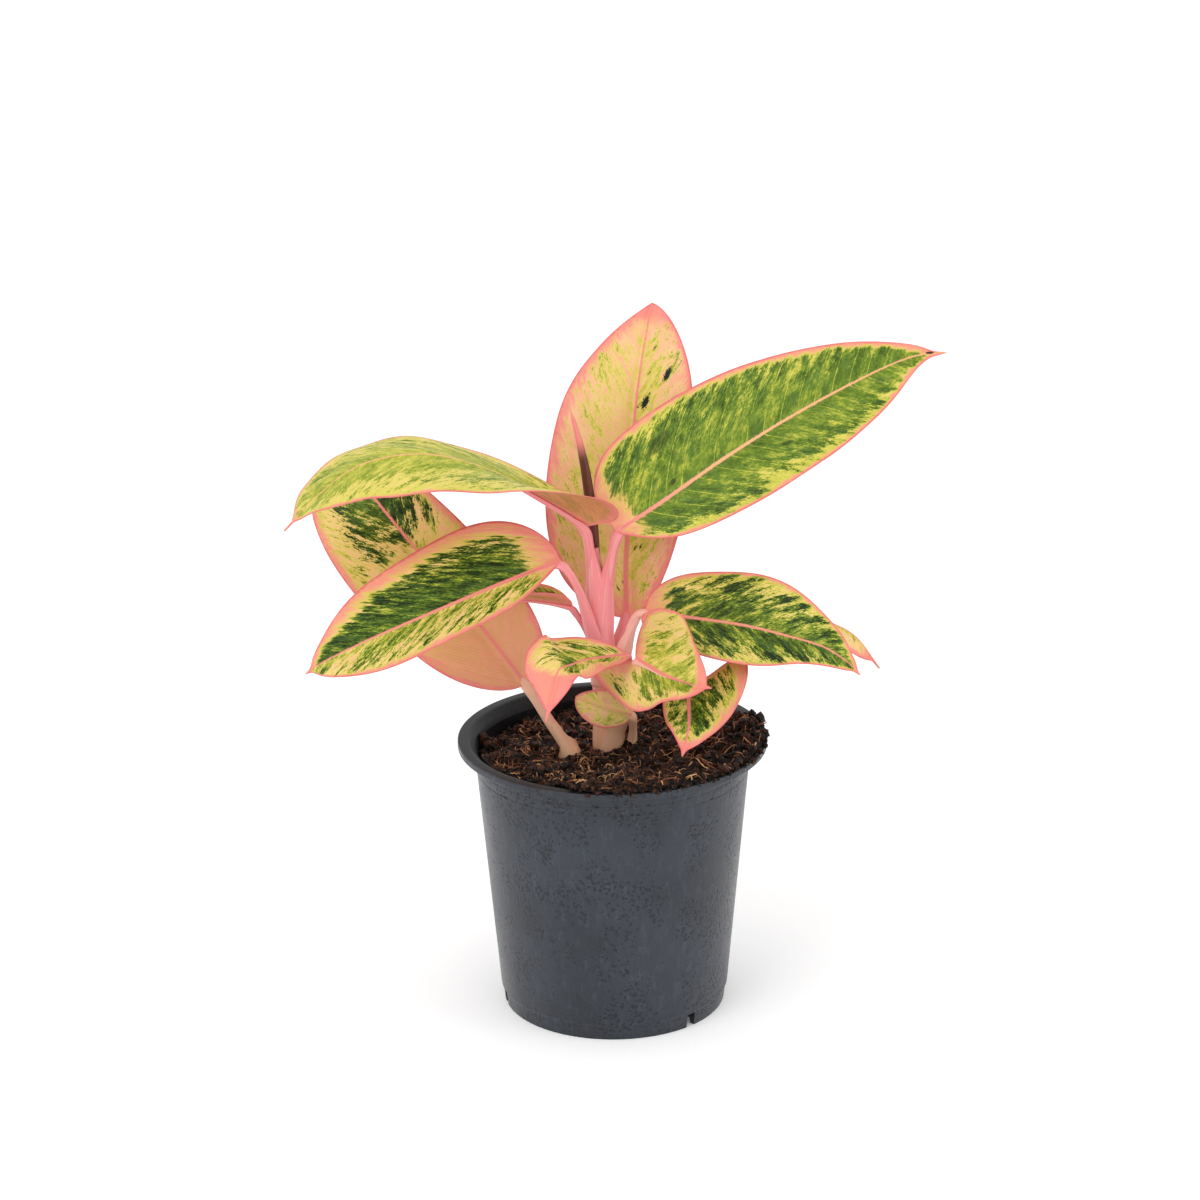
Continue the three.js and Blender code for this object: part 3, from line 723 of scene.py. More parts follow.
def half_width(half, drip, t):
    """Half-width of one side at t: a power curve up to its widest place, then one down to the tip."""
    peak = half.shoulder / (half.shoulder + half.taper)
    s = np.minimum(t / (1 - drip), 1) ** (math.log(peak) / math.log(half.widest))
    body = (s / peak) ** half.shoulder * ((1 - s) / (1 - peak)) ** half.taper
    point = DRIP_HALF_WIDTH * np.clip((1 - t) / max(3 * drip, 0.05), 0, 1) * (t > 0.5)
    return np.hypot(half.width * body, LEAST_HALF_WIDTH + point * (drip > 0))


def leaf_frame(leaf, t):
    """The leaf's directions at t: along the midrib, up from its face, and towards its left margin."""
    step = 1e-4
    along = unit(smooth(leaf.rib, t + step) - smooth(leaf.rib, t - step))
    up = smooth(leaf.face, t)
    up = unit(up - along * np.sum(up * along, axis=-1, keepdims=True))
    return along, up, np.cross(up, along)


def half_blade(leaf, half, sign, t, v):
    """One half of the blade's middle surface at t along the midrib and v out towards the margin.

    Each row turns up by its lift and bends on by its curl, so it is an arc of a circle. A wave grows
    with the square of v, and a lobe draws the base back past the stalk. sign is 1 on the left.
    """
    along, up, left = leaf_frame(leaf, t)
    width = half_width(half, leaf.drip, t)[:, None]
    lift = np.radians(smooth(half.lift, t))[:, None]
    curl = np.radians(smooth(half.curl, t))[:, None]
    curl = np.where(np.abs(curl) < 1e-4, 1e-4, curl)
    v = v[None, :]
    out = width * (np.sin(lift + curl * v) - np.sin(lift)) / curl
    height, count, phase = half.wave
    wave = height * v**2 * np.sin(2 * math.pi * count * t + phase)[:, None] * (width / half.width)
    rise = width * (np.cos(lift) - np.cos(lift + curl * v)) / curl + wave
    pull = (np.exp(-((t / LOBE_LENGTH) ** 2)) * t / (t + LOBE_START))[:, None]
    back = half.lobe * v**2 * pull
    point = beside(smooth(leaf.rib, t), left, up, sign * out, rise) - back[..., None] * along[:, None]
    return point, width * v, width * (1 - v)


def join_halves(left, right):
    """One grid from both halves, with the midrib's column once."""
    return np.concatenate([left[:, :0:-1], right], axis=1)


def on_both_faces(value, grid):
    """A value of the grid's points, for the upper face and again for the lower one."""
    return np.tile(np.broadcast_to(value, grid.shape).ravel(), 2)


def add_blade(shape, leaf, slant, seed):
    """The blade: a thin shell, with a groove beside the midrib and low swellings between side veins.

    A vein is a line of equal vein value: distance along the midrib less a slant and a sweep that grow
    with the distance across. The swellings follow the sine of that value, and the raised midrib and
    its groove are bell curves of the distance across.
    """
    even = np.linspace(0, 1, BLADE_ROWS + 1)
    t = (even + (1 - np.cos(np.pi * even)) / 2) / 2
    v = np.linspace(0, 1, BLADE_COLUMNS + 1) ** 1.25
    left, left_across, left_margin = half_blade(leaf, leaf.left, 1, t, v)
    right, right_across, right_margin = half_blade(leaf, leaf.right, -1, t, v)
    middle = join_halves(left, right)
    across = join_halves(left_across, -right_across)
    margin = join_halves(left_margin, right_margin)
    out = np.broadcast_to(v, left_across.shape)
    share = join_halves(out, out)
    distance = np.abs(across)
    run = running_length(smooth(leaf.rib, t))
    vein = run[:, None] - slant * distance - VEIN_SWEEP * distance**2
    quilt = QUILT_HEIGHT * np.abs(np.sin(np.pi * vein / VEIN_PITCH)) ** 0.7
    quilt = quilt * smoothstep(distance, 0.8, 4) * smoothstep(margin, 0.5, 5)
    hills = HILL_HEIGHT * fold_noise(vein / 9, across / 9, seed) * smoothstep(distance, 1, 6)
    rib_width = leaf.radius * (0.62 - 0.42 * t[:, None])
    raised = RIB_HEIGHT * np.exp(-((distance / rib_width) ** 4))
    groove = RIB_GROOVE * np.exp(-(((distance - 1.9 * rib_width) / rib_width) ** 2)) - raised
    thick = BLADE_HALF_THICKNESS * (1 - 0.5 * share**6)
    normal = grid_normals(middle)
    upper = middle + normal * (thick + quilt + hills - groove)[..., None]
    lower = middle + normal * (quilt + hills - thick)[..., None]
    points, top, bottom, wall = sheet_shell(upper, lower)
    finish = np.concatenate([np.zeros(len(top), int), np.ones(len(bottom), int), np.zeros(len(wall), int)])
    values = {"along": t[:, None], "across": across, "share": share, "margin": margin, "vein": vein}
    values = {name: on_both_faces(value, across) for name, value in values.items()}
    shape.add(points, np.concatenate([top, bottom, wall]), finish=finish, **values)


def add_stalk(shape, leaf):
    """The stalk and the midrib under the blade: one tapering tube, round on the stalk.

    It swells in a bell curve where the blade starts. Under the blade its top is pressed flat, so that
    it thickens only the blade's underside.
    """
    t = np.linspace(0, RIB_END, 13)[1:]
    _, up, _ = leaf_frame(leaf, t)
    on_rib = smooth(leaf.rib, t) - up * 0.25 * rib_radius(leaf, t)[:, None]
    before, corner = np.array(leaf.stalk[-2:], float)
    eased = 0.7 * corner + 0.12 * before + 0.18 * on_rib[0]
    path, length = even_path(np.vstack([leaf.stalk[:-1], eased, on_rib]), STALK_STATIONS)
    _, stalk_length = even_path(leaf.stalk, 40)
    end = stalk_length / length
    u = np.linspace(0, 1, STALK_STATIONS)
    rib_t = RIB_END * (u - end) / (1 - end)
    radius = np.where(u < end, leaf.radius * (1 - STALK_TAPER * u / end), rib_radius(leaf, rib_t))
    radius = radius * (1 + STALK_SWELL * np.exp(-(((u - end) * length / SWELL_LENGTH) ** 2)))
    radius = radius * (0.35 + 0.65 * smoothstep(u * length, 0, 5))
    side, _ = path_frames(path, up[0])
    on_rib = smoothstep(u, end - 0.03, end + 0.03)[:, None]
    _, rib_up, _ = leaf_frame(leaf, np.clip(rib_t, 0, 1))
    along = unit(np.gradient(path, axis=0))
    rib_up = unit(rib_up - along * np.sum(rib_up * along, axis=1, keepdims=True))
    side = unit(side * (1 - on_rib) + rib_up * on_rib)
    angle = full_turn(STALK_SIDES)
    rise = np.cos(angle) * np.where(np.cos(angle) > 0, 1 - 0.75 * on_rib, 1)
    radius = radius[:, None]
    rings = beside(path, side, np.cross(along, side), radius * rise, radius * np.sin(angle))
    shape.add(*loft(rings), finish=2, **loft_values(u / end, angle))


def rib_radius(leaf, t):
    """Radius of the midrib's tube at t along the blade."""
    thick = RIB_SHARE * leaf.radius
    return thick + (RIB_END_RADIUS - thick) * t / RIB_END


def add_sheath(shape, sheath, seed, finish):
    """A thin open tube round a stalk's foot, narrowing like a funnel into the stalk.

    Its two edges draw back and thin out towards the top, with a few slow tears along them.
    """
    path, _ = even_path(sheath.path, SHEATH_STATIONS)
    u = np.linspace(0, 1, SHEATH_STATIONS)
    v = np.linspace(-1, 1, SHEATH_COLUMNS)
    side, other = path_frames(path, sheath.facing)
    radius = blend(*sheath.radius, smoothstep(u, 0.45, 1.0))
    turn = np.radians(blend(*sheath.turn, u))
    tear = fold_noise(u[:, None] * 11, np.sign(v) * 3, seed)
    tear = tear + 0.5 * fold_noise(u * 34, 0, seed)[:, None]
    angle = turn[:, None] * v * (1 + sheath.torn * tear * np.abs(v) ** 3)
    out = np.cos(angle)[..., None] * side[:, None] + np.sin(angle)[..., None] * other[:, None]
    thick = SHEATH_HALF_THICKNESS * (1 - 0.75 * np.abs(v) ** 4)[:, None]
    lip = SHEATH_LIP * sheath.torn * np.abs(v) ** 6 * (0.6 + 0.4 * np.sin(u * 9 + seed))[:, None]
    middle = path[:, None] + out * (radius[:, None] + lip * np.sin(np.pi * u)[:, None])[..., None]
    points, *faces = sheet_shell(middle + out * thick, middle - out * thick)
    along = np.tile(np.repeat(0.15 + 0.5 * u, len(v)), 2)
    across = np.tile(angle.ravel(), 2)
    shape.add(points, np.concatenate(faces), finish=finish, along=along, across=across)


def wrapped(spine, stations, sides, step, edge_turn, closes):
    """A wrapped sheath round a path: its radius grows round each turn and drops back at the edge.

    From closes, a share of the path's length, the rings close in to a blunt tip.
    """
    path, _ = even_path(spine["path"], stations)
    u = np.linspace(0, 1, stations)
    radius = smooth(spine["radii"], u) * (1 - 0.8 * smoothstep(u, closes, 1))
    side, other = path_frames(path, (0, -1, 0))
    angle = full_turn(sides)
    edge = ((angle[None, :] - edge_turn * u[:, None]) / (2 * np.pi)) % 1
    lap = edge - smoothstep(edge, 0.965, 1.0)
    spread = radius[:, None] * (1 + step * (lap - 0.5))
    shape = Shape()
    rings = beside(path, side, other, spread * np.cos(angle), spread * np.sin(angle))
    shape.add(*loft(rings), **loft_values(u, angle))
    return shape


# Materials

class Value:
    """What one node of a material gives. Sums, products and sizes of values are nodes too."""

    def __init__(self, paint, socket):
        self.paint = paint
        self.socket = socket

    def __add__(self, other):
        return self.paint.math("ADD", self, other)

    def __sub__(self, other):
        return self.paint.math("SUBTRACT", self, other)

    def __rsub__(self, other):
        return self.paint.math("SUBTRACT", other, self)

    def __mul__(self, other):
        return self.paint.math("MULTIPLY", self, other)

    def __truediv__(self, other):
        return self.paint.math("DIVIDE", self, other)

    def __abs__(self):
        return self.paint.math("ABSOLUTE", self)


class Paint:
    """Builds one material. Its methods make nodes, and most return the Value that the node gives."""

    def __init__(self, name):
        self.material = bpy.data.materials.new(name)
        self.material.use_nodes = True
        self.tree = self.material.node_tree
        self.tree.nodes.clear()

    def node(self, kind, inputs=None, **settings):
        """A new node with its inputs fed and its settings set."""
        node = self.tree.nodes.new(kind)
        for key, value in settings.items():
            setattr(node, key, value)
        for key, value in (inputs or {}).items():
            self.feed(node.inputs[key], value)
        return node

    def feed(self, socket, value):
        """Links the socket to a Value, or sets it to a plain number, vector or colour."""
        if isinstance(value, Value):
            self.tree.links.new(value.socket, socket)
        else:
            socket.default_value = value

    def given(self, kind, inputs=None, output=0, **settings):
        """What a new node gives at one of its outputs."""
        return Value(self, self.node(kind, inputs, **settings).outputs[output])

    def value(self, name):
        """One of the values that a Shape gives its points."""
        return self.given("ShaderNodeAttribute", output="Fac", attribute_name=name)

    def place(self):
        return self.given("ShaderNodeTexCoord", output="Object")

    def height(self):
        return self.given("ShaderNodeSeparateXYZ", {0: self.place()}, output=2)

    def math(self, operation, first, second=0.0):
        return self.given("ShaderNodeMath", {0: first, 1: second}, operation=operation)

    def least(self, first, second):
        return self.math("MINIMUM", first, second)

    def vector(self, x, y, z):
        return self.given("ShaderNodeCombineXYZ", {"X": x, "Y": y, "Z": z})

    def length(self, x, y):
        """The length of a vector that goes x one way and y the other."""
        vector = self.vector(x, y, 0.0)
        return self.given("ShaderNodeVectorMath", {0: vector}, output="Value", operation="LENGTH")

    def stretch(self, vector, scale):
        return self.given("ShaderNodeMapping", {"Vector": vector, "Scale": scale})

    def noise(self, vector, scale, detail=3.0, rough=0.55):
        inputs = {"Vector": vector, "Scale": scale, "Detail": detail, "Roughness": rough}
        return self.given("ShaderNodeTexNoise", inputs, output="Fac")

    def cells(self, vector, scale, output="Distance"):
        return self.given("ShaderNodeTexVoronoi", {"Vector": vector, "Scale": scale}, output)

    def red(self, shade):
        return self.given("ShaderNodeSeparateColor", {0: shade})

    def band(self, value, low, high, first=0.0, last=1.0):
        """From first at low to last at high, with an S-shaped change between."""
        inputs = {"Value": value, "From Min": low, "From Max": high, "To Min": first, "To Max": last}
        return self.given("ShaderNodeMapRange", inputs, interpolation_type="SMOOTHSTEP")

    def ramp(self, value, stops):
        """The colour at value among stops, each a position and the colour there."""
        node = self.node("ShaderNodeValToRGB", {"Fac": value})
        elements = node.color_ramp.elements
        while len(elements) < len(stops):
            elements.new(1.0)
        for element, (position, shade) in zip(elements, stops):
            element.position = position
            element.color = shade
        return Value(self, node.outputs[0])

    def mix(self, share, first, second):
        """From the first colour to the second by share."""
        return self.given("ShaderNodeMix", {0: share, 6: first, 7: second}, output=2, data_type="RGBA")

    def bump(self, height, distance, strength):
        inputs = {"Height": height, "Distance": distance, "Strength": strength}
        return self.given("ShaderNodeBump", inputs)

    def finish(self, base, rough, normal=None, **constants):
        """The surface shader. constants are fixed values on the shader's own sockets."""
        shader = self.node("ShaderNodeBsdfPrincipled", {"Base Color": base, "Roughness": rough})
        if normal is not None:
            self.feed(shader.inputs["Normal"], normal)
        for name, value in constants.items():
            shader.inputs[name.replace("_", " ")].default_value = value
        output = self.node("ShaderNodeOutputMaterial")
        self.tree.links.new(shader.outputs[0], output.inputs["Surface"])
        return self.material


def by_side(paint, pair):
    """A value that is pair's first on the leaf's left half and its second on the right."""
    return paint.band(paint.value("across"), -0.4, 0.4, pair[1], pair[0])


def vein_ripple(paint, pitch):
    """0 on every side vein and 1 midway between two, for veins that are pitch apart."""
    return abs(paint.math("SINE", paint.value("vein") * (math.pi / pitch)))


def leaf_relief(paint, strength):
    """Fine parallel side veins and a pebbled skin, as a bump."""
    skin = paint.noise(paint.place(), 1400, 2)
    height = vein_ripple(paint, FINE_VEIN_PITCH) * 0.7 + skin * 0.3
    return paint.bump(height, 0.00012, strength)


class LeafMarks:
    """What a leaf's upper side is coloured from: where each point is, noises, patches and salmon.

    blotch is broad, streak and dash are drawn out along the side veins, and speck is fine.
    """

    def __init__(self, paint, look, seed):
        self.paint = paint
        self.look = look
        self.seed = seed
        self.along = paint.value("along")
        self.across = paint.value("across")
        self.share = paint.value("share")
        self.margin = paint.value("margin")
        self.vein = paint.value("vein")
        drawn = look.streaks
        dotted = 1 - look.streaks
        self.blotch = self.pattern(0.13, 0.1, 0, 0.26, 4)
        self.dash = self.pattern(1.3, 0.3, 13, 0.3 * drawn)
        line = self.pattern(0.34, 0.09, 9, 0.4 * drawn, 4)
        self.streak = line + self.pattern(0.36, 0.34, 27, 0.42 * dotted, 5)
        self.speck = self.pattern(1.5, 1.35, 17, 0.34 * dotted) + self.pattern(3.4, 2.6, 37, 0.14, 1)
        self.border = self.patch_border()
        thinning = paint.band(self.along, 0.5, 0.9, 1.0, look.thins)
        self.blush = by_side(paint, look.blush) * thinning
        ragged = ((self.streak + self.dash) + self.blotch) * (self.blush * 0.45 + 1.5)
        self.from_margin = self.margin + ragged
        self.at_base = self.along + (self.streak + self.dash) * 0.08
        self.at_tip = self.along + self.dash * 0.08

    def pattern(self, fine, broad, shift, swing, detail=3):
        """Noise from -swing to swing, at one scale from vein to vein and another along the veins."""
        place = self.paint.vector(self.vein * fine, self.across * broad, self.seed + shift)
        noise = self.paint.noise(place, 1, detail, 0.62)
        return self.paint.band(noise, 0.32, 0.68, -swing, swing)

    def patch_border(self):
        """How far inside the torn border of the green patches a point is, below 0 outside."""
        start, stop = self.look.span
        sideways = by_side(self.paint, self.look.reach) - self.share
        lengthwise = self.paint.least(self.along - start, stop - self.along)
        tear = (self.blotch * 1.4 + self.streak) + (self.dash * 0.7 + self.speck)
        return self.paint.least(sideways, lengthwise * 2) + tear * (0.6 * self.look.ragged)


def green_value(marks):
    """How green each point is: patches on paler ground, with swings and pale side veins in them.

    Next to the salmon it is no more than lime.
    """
    paint, look = marks.paint, marks.look
    inside = paint.band(marks.border, -0.03, 0.08)
    level = paint.band(inside, 0.0, 1.0, look.ground, by_side(paint, look.green))
    swing = (marks.blotch + marks.streak) + (marks.dash + marks.speck)
    swing = swing * paint.band(inside, 0.0, 1.0, 0.3 * look.rough, look.rough)
    swing = swing * paint.band(marks.share, 0.1, 0.85, 0.7, 1.5)
    line = paint.band(vein_ripple(paint, VEIN_PITCH), 0.14, 0.0)
    line = line * paint.band(marks.blotch, -0.16, 0.12, 0.25, 1.0)
    pale = line * (inside * (-0.16 * look.veins))
    caps = [
        paint.band(marks.from_margin - marks.blush, -0.8, 2.2, 0.36, 1.0),
        paint.band(marks.at_base, look.base + 0.03, look.base + 0.1, 0.34, 1.0),
        paint.band(marks.at_tip, look.tip, look.tip - 0.06, 0.36, 1.0),
    ]
    green = level + swing + pale
    for cap in caps:
        green = paint.least(green, cap)
    return green


def marbled_skin(marks):
    """The marbling's colours, with some of the green shaded and some of the bare ground creamy."""
    paint = marks.paint
    green = green_value(marks)
    skin = paint.ramp(green, MARBLING)
    shade = paint.band(marks.pattern(0.17, 0.13, 51, 1), 0.1, 0.9, 0.0, 0.32)
    skin = paint.mix(shade * paint.band(green, 0.5, 0.6), skin, SHADE_GREEN)
    cream = paint.band(paint.noise(paint.place(), 130, 4), 0.36, 0.66, 0.0, 0.4)
    return paint.mix(cream * paint.band(green, 0.34, 0.16), skin, CREAM)


def add_salmon(marks, skin):
    """Salmon in from the margin and over both ends of the blade, deepest on the margin's own line."""
    paint, look = marks.paint, marks.look
    blush = paint.band(marks.from_margin / marks.blush, 1.1, 0.2, 0.0, 0.85)
    base = paint.band(marks.at_base, look.base + 0.08, look.base * 0.3, 0.0, look.flush)
    tip = paint.band(marks.at_tip, look.tip - 0.04, look.tip + 0.03, 0.0, 0.9)
    for share in (blush, base, tip):
        skin = paint.mix(share, skin, SALMON)
    width = (marks.streak + marks.blotch) * 1.2 + (look.edge + 0.1)
    return paint.mix(paint.band(marks.margin - width, 0.5, -0.3, 0.0, 0.75), skin, DEEP_SALMON)


def add_dark_flecks(marks, skin):
    """Small dark flecks scattered over the patches, and the larger ones that the look names."""
    paint, look = marks.paint, marks.look
    amount, depth = look.spots
    grain = marks.dash + marks.speck
    cells = paint.cells(paint.vector(marks.vein * 0.24, marks.across * 0.2, marks.seed), 1)
    fleck = paint.band(cells + grain * 0.35, 0.19, 0.12) * paint.band(marks.border, -0.1, 0.05)
    chosen = paint.noise(paint.vector(marks.vein * 0.11, marks.across * 0.11, marks.seed + 31), 1, 1)
    chosen = paint.band(chosen, 0.68 - 0.3 * amount, 0.72 - 0.3 * amount, 0.0, depth)
    skin = paint.mix(fleck * chosen, skin, DARK_FLECK)
    for vein, across, radius, darkness in look.flecks:
        away = paint.length((marks.vein - vein) * 0.6, marks.across - across) + grain * 1.8
        skin = paint.mix(paint.band(away, radius, 0.75 * radius, 0.0, darkness), skin, DARK_FLECK)
    return skin


def add_midrib(marks, skin):
    """The midrib's line, which narrows to the tip."""
    paint = marks.paint
    half, peach = marks.look.rib
    width = paint.band(marks.along, 0.0, 1.0, 1.35, 0.35) * half
    tone = paint.mix(paint.band(marks.along, 0.05, 0.35, 0.0, peach), SALMON, PEACH)
    past = (abs(marks.across) - width) + marks.speck * 0.5
    return paint.mix(paint.band(past, 0.35, -0.2), skin, tone)


def add_dry_spot(marks, skin):
    """A small dried brown spot beside the midrib."""
    paint = marks.paint
    away = paint.length((marks.along - marks.look.dry) * 30, marks.across - 0.4)
    return paint.mix(paint.band(away, 0.7, 0.5), skin, DRY_TIP)


def leaf_upper(name, look, seed):
    """The marbled upper side, with salmon on the margin, the midrib and both ends of the blade."""
    paint = Paint(name + "_upper")
    marks = LeafMarks(paint, look, seed)
    skin = add_salmon(marks, marbled_skin(marks))
    skin = add_midrib(marks, add_dark_flecks(marks, skin))
    if look.dry is not None:
        skin = add_dry_spot(marks, skin)
    rough = paint.band(marks.speck, -0.1, 0.1, 0.42, 0.56)
    return paint.finish(skin, rough, leaf_relief(paint, 0.5), Specular_IOR_Level=0.19)


def leaf_under(name, seed):
    """The paler underside: tan, with a ghost of the marbling and salmon along midrib and margin."""
    paint = Paint(name + "_under")
    across, vein = paint.value("across"), paint.value("vein")
    ghost = paint.noise(paint.vector(vein * 0.2, across * 0.15, seed + 9), 1, 5, 0.62)
    grain = paint.noise(paint.vector(vein * 1.3, across * 0.8, seed + 3), 1, 3, 0.6)
    skin = paint.mix(paint.band(ghost, 0.38, 0.62), colour(212, 146, 98), colour(178, 138, 80))
    skin = paint.mix(paint.band(grain, 0.35, 0.7, 0.0, 0.3), skin, colour(158, 98, 58))
    side_vein = paint.band(vein_ripple(paint, VEIN_PITCH), 0.2, 0.0, 0.0, 0.4)
    edge = paint.band(paint.value("margin"), 3.5, 0.3, 0.0, 0.9)
    midrib = paint.band(abs(across), 3.2, 1.0, 0.0, 0.8)
    for share in (side_vein, edge, midrib):
        skin = paint.mix(share, skin, SALMON)
    return paint.finish(skin, 0.55, leaf_relief(paint, 0.6), Specular_IOR_Level=0.2)


def stem_skin(name, turns, low=colour(232, 182, 144), high=colour(238, 142, 146)):
    """Smooth pale flesh with fine lengthwise lines: tan at the soil, salmon pink higher up."""
    paint = Paint(name)
    height = paint.height()
    lines = paint.noise(paint.vector(paint.value("across") * turns, height * 26, 2.0), 1, 4, 0.6)
    cloud = paint.noise(paint.place(), 90, 2)
    level = height + paint.band(cloud, 0.3, 0.7, -0.006, 0.006)
    skin = paint.mix(paint.band(level, PALE_BELOW * MM, PINK_ABOVE * MM), low, high)
    skin = paint.mix(paint.band(lines, 0.48, 0.72, 0.0, 0.6), skin, PALE_PINK)
    skin = paint.mix(paint.band(lines, 0.44, 0.3, 0.0, 0.45), skin, DEEP_SALMON)
    return paint.finish(skin, 0.45, paint.bump(lines, 0.00025, 0.5), Specular_IOR_Level=0.3)


def make_leaves():
    """Every leaf: a marbled blade with its stalk, standing for its own node."""
    pink = stem_skin("stalk_pink", 2.4)
    pale = stem_skin("stalk_pale", 2.4, colour(238, 190, 152), colour(242, 184, 168))
    for number, (name, leaf) in enumerate(LEAVES.items(), start=1):
        look = LOOKS[name]
        shape = Shape()
        add_blade(shape, leaf, look.slant, number)
        add_stalk(shape, leaf)
        if name in SHEATHS:
            add_sheath(shape, SHEATHS[name], number + SHEATH_SEED, finish=2)
        seed = number * LEAF_SEED_STEP
        stays_pale = leaf.stalk[0][2] < SOIL_LEVEL or name in PALE_STALKS
        skins = [leaf_upper(name, look, seed), leaf_under(name, seed), pale if stays_pale else pink]
        shape.piece(name + "_fine", skins, name)


# Stem and rolled leaf

def make_stem():
    """The stem, wrapped in the feet of its leaves."""
    shape = wrapped(STEM, stations=80, sides=72, step=0.1, edge_turn=2.2, closes=0.78)
    shape.piece("main_stem_fine", [stem_skin("stem_sheaths", 2.6)], "main_stem")


def spear_skin():
    """Dark maroon with fine lengthwise lines, and a salmon tip."""
    paint = Paint("spear_skin")
    along = paint.value("along")
    lines = paint.noise(paint.vector(paint.value("across") * 3, along * 4, 6.0), 1, 3, 0.6)
    skin = paint.mix(paint.band(lines, 0.35, 0.65), colour(66, 30, 26), colour(120, 66, 50))
    skin = paint.mix(paint.band(along, 0.75, 0.86), skin, SALMON)
    return paint.finish(skin, 0.45, paint.bump(lines, 0.0002, 0.5), Specular_IOR_Level=0.3)


def make_spear():
    """The rolled new leaf, with the pink sheath that it grows out of."""
    shape = wrapped(SPEAR, stations=90, sides=48, step=0.3, edge_turn=3.4, closes=0.94)
    add_sheath(shape, SPEAR_SHEATH, SPEAR_SHEATH_SEED, finish=1)
    shape.piece("new_leaf_spear_fine", [spear_skin(), stem_skin("spear_sheath", 2.4)], "new_leaf_spear")


# Pot

def rounded(outline, radius, steps=4):
    """The outline with each inner corner drawn as a short quadratic curve."""
    outline = np.asarray(outline, float)
    points = [outline[0]]
    for before, corner, after in zip(outline[:-2], outline[1:-1], outline[2:]):
        back, ahead = before - corner, after - corner
        reach = min(radius, 0.45 * np.linalg.norm(back), 0.45 * np.linalg.norm(ahead))
        start = corner + reach * back / np.linalg.norm(back)
        stop = corner + reach * ahead / np.linalg.norm(ahead)
        for u in np.linspace(0, 1, steps):
            points.append((1 - u) ** 2 * start + 2 * u * (1 - u) * corner + u**2 * stop)
    points.append(outline[-1])
    return np.array(points)


def round_axis(angle, radius, height):
    """Points round the pot's axis at these angles."""
    return np.stack(np.broadcast_arrays(radius * np.cos(angle), radius * np.sin(angle), height), axis=-1)


def wall_radius(z):
    """Outer radius of the tapered wall at height z."""
    widening = (WALL_TOP_RADIUS - WALL_FOOT_RADIUS) * (z - STEP_Z) / (WALL_TOP_Z - STEP_Z)
    return WALL_FOOT_RADIUS + widening


def pot_outline():
    """Radius and height from the middle of the underside, round the outside, to the middle of the floor."""
    under_rim = POT_HEIGHT - RIM_THICKNESS
    return [
        [0, 0], [BOSS_RADIUS, 0], [BOSS_RADIUS + 0.6, BASE_RECESS],
        [FOOT_RADIUS - FOOT_WIDTH - 0.6, BASE_RECESS], [FOOT_RADIUS - FOOT_WIDTH, 0], [FOOT_RADIUS, 0],
        [WALL_FOOT_RADIUS - STEP_DEPTH, STEP_Z - STEP_DEPTH], [WALL_FOOT_RADIUS, STEP_Z],
        *([wall_radius(z) - depth, z] for z, depth in GROOVES),
        [WALL_TOP_RADIUS, WALL_TOP_Z], [WALL_TOP_RADIUS + 2, under_rim], [RIM_RADIUS, under_rim],
        [RIM_RADIUS, POT_HEIGHT], [RIM_INNER_RADIUS, POT_HEIGHT],
        [RIM_INNER_RADIUS - 0.8, POT_HEIGHT - 0.3],
        [WALL_TOP_RADIUS - 0.4, under_rim - 0.2], [WALL_TOP_RADIUS - WALL, WALL_TOP_Z - 0.9],
        [WALL_FOOT_RADIUS - WALL, STEP_Z + 1.4], [FOOT_RADIUS - 0.6, FLOOR_TOP_Z], [0, FLOOR_TOP_Z],
    ]


def pot_plastic():
    """Satin moulded plastic: slate grey, clouded, with clusters of dark pits and a few dusty specks."""
    paint = Paint("pot_plastic")
    place = paint.place()
    cloud = paint.noise(place, 26, 4)
    patch = paint.noise(paint.stretch(place, (1, 1, 0.7)), 75, 3)
    scuff = paint.noise(paint.stretch(place, (1, 1, 0.3)), 420, 4, 0.7)
    jitter = paint.band(paint.noise(place, 700, 2), 0.3, 0.7, -0.26, 0.26)
    size = paint.band(patch, 0.36, 0.64, -0.12, 0.14)
    pit = paint.band((paint.cells(place, 640) + jitter) - size, 0.34, 0.06)
    pit = pit * paint.band(patch, 0.34, 0.56, 0.15, 1.0)
    dust = paint.band(paint.noise(place, 2300, 1), 0.75, 0.8)
    skin = paint.mix(paint.band(cloud, 0.35, 0.65), colour(29, 32, 39), colour(41, 45, 53))
    skin = paint.mix(paint.band(scuff, 0.5, 0.72, 0.0, 0.3), skin, colour(74, 80, 90))
    skin = paint.mix(pit * 0.9, skin, colour(13, 15, 21))
    skin = paint.mix(dust * 0.5, skin, colour(150, 150, 150))
    normal = paint.bump(scuff * 0.35 - pit, 0.00045, 0.8)
    rough = paint.band(cloud, 0.3, 0.7, 0.28, 0.4)
    tint = (0.9, 0.94, 1.0, 1.0)
    return paint.finish(skin, rough, normal, Specular_IOR_Level=0.5, Specular_Tint=tint)


def pot_inside_painted_shade():
    """The same plastic on the rim's top and inside the pot, without haze or pits, painted near black;
    inside the pot this darkness is painted shade.
    """
    paint = Paint("pot_inside_painted_shade")
    grain = paint.noise(paint.place(), 800, 3)
    # Near-black colours, darker than the outer plastic: painted shade for the pot's inside.
    skin = paint.mix(paint.band(grain, 0.4, 0.7), colour(11, 11, 13), colour(24, 25, 29))
    return paint.finish(skin, 0.45, paint.bump(grain, 0.0001, 0.5), Specular_IOR_Level=0.22)


